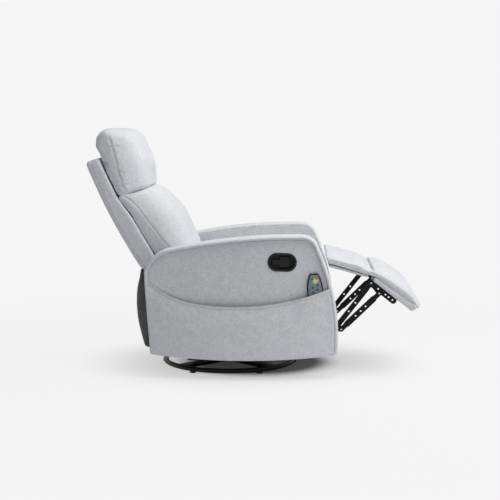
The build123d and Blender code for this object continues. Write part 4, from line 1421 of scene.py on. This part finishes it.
@dataclass
class Pocket:
    """The sewn pocket over the lower half of an arm's outer side."""

    side: Side
    wardrobe: Wardrobe
    outer: float = 0.395
    bow: Bow = Bow(1.526)
    thickness: float = 0.0026
    columns: int = 220
    rows: int = 96
    places: int = 6000
    crease_angle: float = 60
    skin: float = 0.0012
    hem: float = 0.011
    hem_proud: float = 0.0012
    hem_groove: Point = (0.0011, 0.0016)
    lean: float = 0.0085
    lean_depth: float = 0.045
    lean_front: Point = (0.315, 0.05)
    lean_rear: Point = (-0.33, 0.04)
    bag: Lumps = Lumps(0.0012, 0.17, 21)
    creases: Lumps = Lumps(0.0003, 0.06, 22)
    still_columns: float = 14
    still_rows: float = 8
    rear_turn: Point = (0.009, 5)
    front_turn: Point = (0.0035, 3)
    foot_turn: Point = (0.010, 4)
    turn_round: float = 0.98
    low: float = 0.095
    edge_ends: Point = (-0.3305, 0.4475)
    foot_ends: Point = (-0.3065, 0.449)
    edge: Outline = Outline((-0.3305, 0.4125), (((-0.239, 0.3506), (-0.137, 0.3157)),
                                                ((-0.040, 0.3035), (0.045, 0.3005)),
                                                ((0.200, 0.3104), (0.459, 0.3775))))
    rear: Outline = Outline((-0.3065, 0.096), (((-0.3195, 0.260), (-0.332, 0.436)),))
    front: Outline = Outline((0.449, 0.096), ((0.452, 0.165), ((0.432, 0.349), (0.369, 0.542))))
    foot: Outline = Outline((-0.309, 0.096), (((0.065, 0.080), (0.458, 0.096)),))

    def _stretch(self, line: Outline, column: int, low: float, high: float,
                 count: int) -> np.ndarray:
        """The stretch of an outline between two values of one coordinate.

        Args:
            line: The outline.
            column: 0 for X, 1 for Z.
            low: The lower value.
            high: The higher value.
            count: How many places are wanted.

        Returns:
            The stretch's places, evenly spaced.
        """
        fine = spaced(line.path(), self.places)
        fine = fine[(fine[:, column] >= low) & (fine[:, column] <= high)]
        return spaced(fine, count)

    def _net(self) -> tuple[np.ndarray, np.ndarray, np.ndarray, np.ndarray]:
        """Fills the pocket's four sides with a net.

        Returns:
            Its places in the XZ plane, its shares across and up, and how far below the upper
            edge each place lies.
        """
        top = self._stretch(self.edge, 0, *self.edge_ends, self.columns + 1)
        base = self._stretch(self.foot, 0, *self.foot_ends, self.columns + 1)
        rear = self._stretch(self.rear, 1, self.low, top[0, 1] + 1e-4, self.rows + 1)
        front = self._stretch(self.front, 1, self.low, top[-1, 1], self.rows + 1)
        u = np.linspace(0, 1, self.columns + 1)[:, None, None]
        v = np.linspace(0, 1, self.rows + 1)[None, :, None]
        flat = ((1 - v) * base[:, None] + v * top[:, None] + (1 - u) * rear[None] + u * front[None]
                - (1 - u) * (1 - v) * base[0] - u * (1 - v) * base[-1]
                - (1 - u) * v * top[0] - u * v * top[-1])
        down = np.abs(1 - v[..., 0]) * np.linalg.norm(top - base, axis=1)[:, None]
        return flat, u[..., 0], v[..., 0], down

    def _turned(self, share: np.ndarray, count: int, turn: Point) -> np.ndarray:
        """How near a side's last few rows each place lies: 1 at the side, 0 past them."""
        return np.clip(1 - share * count / turn[1], 0, 1)

    def sheet(self) -> np.ndarray:
        """Shapes the pocket's outer face, of the right side.

        Returns:
            Its places as a grid, columns by rows by three.
        """
        flat, u, v, down = self._net()
        x, z = flat[..., 0], flat[..., 1]
        out = self.outer - self.bow.drop(x) - self.skin
        groove, width = self.hem_groove
        seam = np.exp(-((down - self.hem) / width) ** 2)
        out = out + self.hem_proud * (down < self.hem) - groove * seam
        slack = (np.clip((self.lean_front[0] - x) / self.lean_front[1], 0, 1)
                 * np.clip((x - self.lean_rear[0]) / self.lean_rear[1], 0, 1))
        lean = self.lean * np.exp(-(down / self.lean_depth) ** 2)
        out = out - lean * slack * slack * (3 - 2 * slack)
        places = np.stack([x, -out, z], axis=-1)
        swell = sum(ripple(places.reshape(-1, 3), wave.length, wave.seed) * wave.height
                    for wave in (self.bag, self.creases))
        inside = (np.clip(np.minimum(u, 1 - u) * self.still_columns, 0, 1)
                  * np.clip(v * self.still_rows, 0, 1))
        places[..., 1] += swell.reshape(places.shape[:2]) * inside
        rear_in = self._turned(u, self.columns, self.rear_turn)
        front_in = self._turned(1 - u, self.columns, self.front_turn)
        foot_in = self._turned(v, self.rows, self.foot_turn)
        rear_depth, front_depth, foot_depth = (
            turn[0] for turn in (self.rear_turn, self.front_turn, self.foot_turn))
        places[..., 1] += (rear_depth * (1 - np.sqrt(1 - self.turn_round * rear_in ** 2))
                           + front_depth * front_in ** 2)
        places[..., 1] += foot_depth * (1 - np.sqrt(1 - self.turn_round * foot_in ** 2))
        return places

    def build(self) -> bpy.types.Object:
        """Models the pocket cloth with its turned hem.

        Returns:
            The cloth in place.
        """
        name = f"{self.side.word}_pocket_cloth"
        obj = Bench.add("grid", name, x_subdivisions=self.columns, y_subdivisions=self.rows,
                        size=2)
        p = Bench.points(obj)
        i = np.rint((p[:, 0] + 1) / 2 * self.columns).astype(int)
        j = np.rint((p[:, 1] + 1) / 2 * self.rows).astype(int)
        Bench.place(obj, self.sheet()[i, j])
        Bench.face_out(obj)
        if Bench.normals(obj)[:, 1].mean() > 0:
            Bench.flip(obj)
        Bench.modify(obj, "SOLIDIFY", thickness=self.thickness, offset=-1.0)
        if self.side is Side.LEFT:
            Bench.to_left(obj, 1e-7)
        Bench.smooth(obj, self.crease_angle)
        self.wardrobe.wear(obj, "fabric")
        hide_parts(f"{self.side.word}_pocket")
        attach(obj, "chassis")
        self._stitch()
        return Bench.report(obj)

    def _stitch(self) -> None:
        """Sews the hem with two rows and the front seam with one."""
        places = self.sheet()
        sign = np.array([1.0, 1.0 if self.side is Side.RIGHT else -1.0, 1.0])
        outwards = np.array([0.0, -1.0, 0.0]) * sign
        rows = {"hem_row_upper": places[2:-3, -3], "hem_row_lower": places[2:-3, -5],
                "front_row": places[-5, 6:-8]}
        for word, path in rows.items():
            path = path * sign
            row = Stitching().row(f"{self.side.word}_pocket_{word}", path,
                                  np.tile(outwards, (len(path), 1)))
            row.data.materials.append(self.wardrobe.thread)
            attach(row, "chassis")
            Bench.report(row)


# ---------------------------------------------------------------- back, seat and footrest
@dataclass
class BackRest:
    """The reclining back: its upholstered shell, head pillow and lumbar cushion."""

    wardrobe: Wardrobe
    shell: Recipe = Recipe(
        "back_shell", "back", voxel=0.0065, fill=0.9, eased=3,
        seam=Seam(((-0.552, 0.893), (-0.560, 0.872), (-0.472, 0.666), (-0.352, 0.458)),
                  y=0.262, width=0.0030, depth=0.0018),
        lumps=Lumps(0.0008, 0.14, 31))
    pillow: Recipe = Recipe(
        "head_pillow", "back", voxel=0.006, fill=0.85, eased=3, half=0.262,
        swell=Swell(drawn_in=0.010, rounds=10, pressure=4.0, least=0.010, most=0.013),
        pulls=(Pull((-0.292, 0.817), (-0.011, -0.006), 0.060),
               Pull((-0.335, 0.985), (-0.013, -0.005), 0.060),
               Pull((-0.455, 1.028), (0.000, -0.005), 0.060),
               Pull((-0.335, 0.925), (-0.005, -0.002), 0.050)),
        rests=(Rest((-0.529, 0.899), (-0.447, 0.741), reach=0.022),),
        seam=Seam(((-0.477, 0.985), (-0.470, 0.951), (-0.461, 0.918), (-0.450, 0.870),
                   (-0.440, 0.826), (-0.426, 0.775)), y=0.27, width=0.0034, depth=0.0028,
                  puckers=(((-0.462, 0.950), 0.030, 5), ((-0.440, 0.845), 0.026, 4),
                           ((-0.430, 0.792), 0.030, 6))),
        lumps=Lumps(0.0016, 0.13, 32))
    lumbar: Recipe = Recipe(
        "lumbar_cushion", "back", voxel=0.006, fill=0.85, eased=3, half=0.262,
        swell=Swell(drawn_in=0.010, rounds=10, pressure=4.0, least=0.010, most=0.013),
        pulls=(Pull((-0.418, 0.726), (-0.022, 0.011), 0.028),
               Pull((-0.135, 0.590), (-0.012, -0.004), 0.070),
               Pull((-0.110, 0.520), (-0.008, -0.002), 0.050)),
        rests=(Rest((-0.453, 0.739), (-0.396, 0.661), reach=0.012),
               Rest((-0.396, 0.661), (-0.293, 0.486), reach=0.012)),
        seam=Seam(((-0.437, 0.750), (-0.398, 0.738), (-0.367, 0.706), (-0.330, 0.652),
                   (-0.293, 0.601), (-0.256, 0.553), (-0.227, 0.520)),
                  y=0.27, width=0.0034, depth=0.0026),
        lumps=Lumps(0.0016, 0.15, 33))

    def build(self) -> None:
        """Models the three pieces."""
        for recipe in (self.shell, self.pillow, self.lumbar):
            Stuffed(recipe).make(self.wardrobe)


@dataclass(frozen=True)
class Crease:
    """The crease between the footrest's cushions: four corners in the XZ plane."""

    low: tuple = ((0.590, 0.418), (0.620, 0.410))
    high: tuple = ((0.592, 0.4375), (0.624, 0.4285))
    half: float = 0.2485
    voxel: float = 0.0035
    rounds: int = 3
    fill: float = 0.3


@dataclass
class SeatAndFootrest:
    """The seat cushion, and the cushions, boards and hinge cover of the footrest."""

    wardrobe: Wardrobe
    seat: Recipe = Recipe(
        "seat_cushion", "chassis", voxel=0.007, fill=0.85, half=0.2645,
        swell=Swell(drawn_in=0.006, rounds=6, pressure=3.0, least=0.005, most=0.008),
        lumps=Lumps(0.0015, 0.16, 41))
    calf: Recipe = Recipe(
        "calf_cushion", "calf_rest", voxel=0.005, fill=0.8, half=0.252,
        swell=Swell(drawn_in=0.003, rounds=2, pressure=3.0, least=0.003, most=0.0045),
        pulls=(Pull((0.410, 0.512), (0.002, 0.008), 0.045),
               Pull((0.475, 0.497), (0.002, 0.007), 0.050),
               Pull((0.556, 0.477), (0.004, 0.012), 0.038),
               Pull((0.602, 0.432), (0.003, 0.001), 0.014)),
        lumps=Lumps(0.0010, 0.12, 42))
    calf_board: Recipe = Recipe(
        "calf_board", "calf_rest", voxel=0.005, fill=0.3, eased=2, finer=False)
    foot: Recipe = Recipe(
        "foot_cushion", "foot_rest", voxel=0.0055, fill=0.85, half=0.254,
        swell=Swell(drawn_in=0.005, rounds=5, pressure=3.0, least=0.0045, most=0.0065),
        pulls=(Pull((0.765, 0.403), (-0.010, -0.013), 0.055),
               Pull((0.806, 0.320), (-0.008, -0.003), 0.040),
               Pull((0.695, 0.457), (-0.009, -0.017), 0.048),
               Pull((0.748, 0.418), (-0.010, -0.012), 0.050),
               Pull((0.795, 0.358), (-0.014, -0.010), 0.048),
               Pull((0.826, 0.305), (-0.003, -0.002), 0.035),
               Pull((0.613, 0.436), (-0.003, 0.001), 0.014),
               Pull((0.800, 0.296), (0.002, -0.004), 0.020)),
        seam=Seam(((0.622, 0.4045), (0.795, 0.2855)), y=0.27, width=0.0042, depth=0.0055),
        lumps=Lumps(0.0012, 0.12, 43))
    foot_board: Recipe = Recipe(
        "foot_board", "foot_rest", voxel=0.0045, fill=0.3, eased=2, finer=False,
        pulls=(Pull((0.796, 0.282), (-0.001, 0.007), 0.030),))
    crease: Crease = Crease()

    def build(self) -> None:
        """Models the six pieces."""
        for recipe in (self.seat, self.calf, self.calf_board, self.foot, self.foot_board):
            Stuffed(recipe).make(self.wardrobe)
        self._hinge_cover()

    def _hinge_cover(self) -> bpy.types.Object:
        """The padded cloth in the crease between the two cushions.

        Returns:
            The cloth in place.
        """
        low, high = np.array(self.crease.low), np.array(self.crease.high)
        obj = Bench.add("cube", "footrest_hinge_cover", size=1)
        p = Bench.points(obj)
        u, w = (p[:, 0] + 0.5)[:, None], (p[:, 2] + 0.5)[:, None]
        flat = ((1 - w) * ((1 - u) * low[0] + u * low[1])
                + w * ((1 - u) * high[0] + u * high[1]))
        y = p[:, 1] * 2 * self.crease.half
        Bench.place(obj, np.stack([flat[:, 0], y, flat[:, 1]], axis=1))
        Bench.modify(obj, "REMESH", mode="VOXEL", voxel_size=self.crease.voxel)
        Bench.modify(obj, "SMOOTH", factor=Stuffed.SOFTENING, iterations=self.crease.rounds)
        Bench.smooth(obj)
        self.wardrobe.wear(obj, "fabric")
        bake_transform(obj)
        return Bench.report(obj)


@dataclass
class RearFlap:
    """The dark cloth that hangs behind the mechanism."""

    wardrobe: Wardrobe
    half: float = 0.250
    outline: Outline = Outline((-0.356, 0.437), (
        (-0.361, 0.400), ((-0.373, 0.325), (-0.359, 0.187)), (-0.341, 0.115), (-0.298, 0.0975)))
    thickness: float = 0.0022
    down: int = 60
    across: int = 80
    held_rows: int = 12
    fold: float = 0.0028
    fold_width: float = 0.21
    fold_start: float = 0.7
    unevenness: Lumps = Lumps(0.0020, 0.13, 51)
    behind: float = 0.0022
    crease_angle: float = 60

    def build(self) -> bpy.types.Object:
        """Hangs the cloth in shallow folds.

        Returns:
            The cloth in place.
        """
        path = spaced(self.outline.path(), self.down + 1)
        obj = Bench.add("grid", "rear_flap_cloth", x_subdivisions=self.down,
                        y_subdivisions=self.across, size=2)
        p = Bench.points(obj)
        i = np.rint((p[:, 0] + 1) / 2 * self.down).astype(int)
        y = p[:, 1] * self.half
        places = np.stack([path[i, 0], y, path[i, 1]], axis=1)
        held = np.clip(i / self.held_rows, 0, 1) * np.clip((self.down - i) / self.held_rows, 0, 1)
        rough = self.unevenness
        sway = (self.fold * np.sin(y * math.tau / self.fold_width + self.fold_start)
                + rough.height * ripple(places, rough.length, rough.seed))
        places[:, 0] += sway * held + self.behind
        Bench.place(obj, places)
        Bench.modify(obj, "SOLIDIFY", thickness=self.thickness, offset=0.0)
        Bench.close(obj, 1e-7)
        Bench.smooth(obj, self.crease_angle)
        self.wardrobe.wear(obj, "flap_fabric")
        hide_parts("rear_flap")
        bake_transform(obj)
        return Bench.report(obj)


# ---------------------------------------------------------------- studio
@dataclass(frozen=True)
class Lamp:
    """A round soft lamp."""

    name: str
    at: tuple
    aim: tuple
    size: float
    power: float

    def hang(self) -> None:
        """Hangs the lamp and turns it to its aim."""
        data = bpy.data.lights.new(self.name, "AREA")
        data.shape, data.size, data.energy = "DISK", self.size, self.power
        lamp = bpy.data.objects.new(self.name, data)
        lamp.location = self.at
        way = Vector(self.aim) - Vector(self.at)
        lamp.rotation_euler = way.to_track_quat("-Z", "Y").to_euler()
        bpy.context.scene.collection.objects.link(lamp)


@dataclass
class Studio:
    """Camera, soft lamps and a pale seamless floor with a painted shadow under the chair."""

    RAYS = ("Is Camera Ray", "Is Glossy Ray", "Is Transmission Ray")

    camera_at: tuple = (0.30055, -4.98016, 1.03456)
    camera_turn: tuple = (83.7966, 0.0, 2.4256)
    lens: float = 82.8
    floor: tuple = (0.86, 0.865, 0.88)
    floor_radius: float = 14
    backdrop: tuple = (0.915, 0.915, 0.92)
    sky: tuple = (0.96, 0.98, 1.0)
    sky_strength: float = 0.30
    shadow_x: float = 0.12
    shadow_length: float = 0.8
    # Painted shadow: inside these radii round the chair the floor's colour is darkened to this
    # share of itself.
    painted_shadow_core: Point = (0.22, 0.31)
    painted_shadow_share: float = 0.16
    fading: tuple = (((0.22, 0.36), 0.56), ((0.34, 0.75), 0.34), ((0.9, 2.6), 0.06))
    least_plain: float = 0.04
    lamps: tuple = (Lamp("top_lamp", (1.2, -0.3, 3.3), (0.1, 0.0, 0.2), 3.0, 82),
                    Lamp("front_lamp", (3.4, -0.9, 2.4), (0.2, 0.0, 0.4), 1.8, 26))

    def build(self) -> None:
        """Sets up the whole studio."""
        self._camera()
        self._floor()
        self._world()
        for lamp in self.lamps:
            lamp.hang()
        bpy.context.scene.view_settings.view_transform = "Standard"

    def _camera(self) -> None:
        """Places the camera where the photograph was taken from."""
        data = bpy.data.cameras.new("camera")
        data.lens, data.sensor_width = self.lens, 36
        camera = bpy.data.objects.new("camera", data)
        camera.location = self.camera_at
        camera.rotation_euler = tuple(math.radians(a) for a in self.camera_turn)
        bpy.context.scene.collection.objects.link(camera)
        bpy.context.scene.camera = camera

    def _seen(self, s: Shader) -> Socket:
        """1 on rays that show the background itself, in glass and metal too."""
        first, second, third = (s.node("ShaderNodeLightPath", out=word) for word in self.RAYS)
        return (first + second + third).above(0.0, 1.0)

    def _floor(self) -> None:
        """Lays the floor, which fades into the backdrop away from the chair's shadow, with a dark
        disc of painted shadow round the chair's base.
        """
        obj = Bench.add("circle", "floor", vertices=96, radius=self.floor_radius,
                        fill_type="TRIFAN")
        s = Shader("seamless_floor")
        x, y, _ = s.parts(s.place)
        x = x - self.shadow_x
        near = (x * x * self.shadow_length + y * y).root()
        first, second, third = (near.above(*ends) * share for ends, share in self.fading)
        far = first + second + third + self.least_plain
        # Painted shadow: a dark disc of floor colour round the chair's base stands in for its
        # contact shadow.
        dark = tuple(c * self.painted_shadow_share for c in self.floor)
        shade = s.mix(near.above(*self.painted_shadow_core), dark, self.floor)
        lit = s.node("ShaderNodeBsdfDiffuse", None, {"Color": shade})
        plain = s.node("ShaderNodeEmission", None, {"Color": (*self.backdrop, 1)})
        mixed = s.node("ShaderNodeMixShader", None, {0: far * self._seen(s), 1: lit, 2: plain})
        s.node("ShaderNodeOutputMaterial", None, {"Surface": mixed})
        obj.data.materials.append(s.material)

    def _world(self) -> None:
        """Makes the soft sky, and the backdrop that shows on rays which see it itself."""
        world = bpy.data.worlds.new("studio")
        world.use_nodes = True
        tree = world.node_tree
        tree.nodes.clear()
        out = tree.nodes.new("ShaderNodeOutputWorld")
        mix = tree.nodes.new("ShaderNodeMixShader")
        glow, seen = (tree.nodes.new("ShaderNodeBackground") for _ in range(2))
        glow.inputs["Color"].default_value = (*self.sky, 1)
        glow.inputs["Strength"].default_value = self.sky_strength
        seen.inputs["Color"].default_value = (*self.backdrop, 1)
        path = tree.nodes.new("ShaderNodeLightPath")
        rays = path.outputs[self.RAYS[0]]
        for word in self.RAYS[1:]:
            either = tree.nodes.new("ShaderNodeMath")
            either.operation = "MAXIMUM"
            tree.links.new(rays, either.inputs[0])
            tree.links.new(path.outputs[word], either.inputs[1])
            rays = either.outputs[0]
        tree.links.new(rays, mix.inputs[0])
        tree.links.new(glow.outputs[0], mix.inputs[1])
        tree.links.new(seen.outputs[0], mix.inputs[2])
        tree.links.new(mix.outputs[0], out.inputs[0])
        bpy.context.scene.world = world


def main() -> None:
    """Builds the chair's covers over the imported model."""
    logging.basicConfig(level=logging.INFO, format="%(name)s: %(message)s")
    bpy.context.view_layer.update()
    Studio().build()
    wardrobe = Wardrobe()
    wardrobe.dress_nodes()
    for side in Side:
        Arm(side, wardrobe).build(handle_room=side is Side.RIGHT)
        Pocket(side, wardrobe).build()
    BackRest(wardrobe).build()
    SeatAndFootrest(wardrobe).build()
    RearFlap(wardrobe).build()


if __name__ == "__main__":
    main()
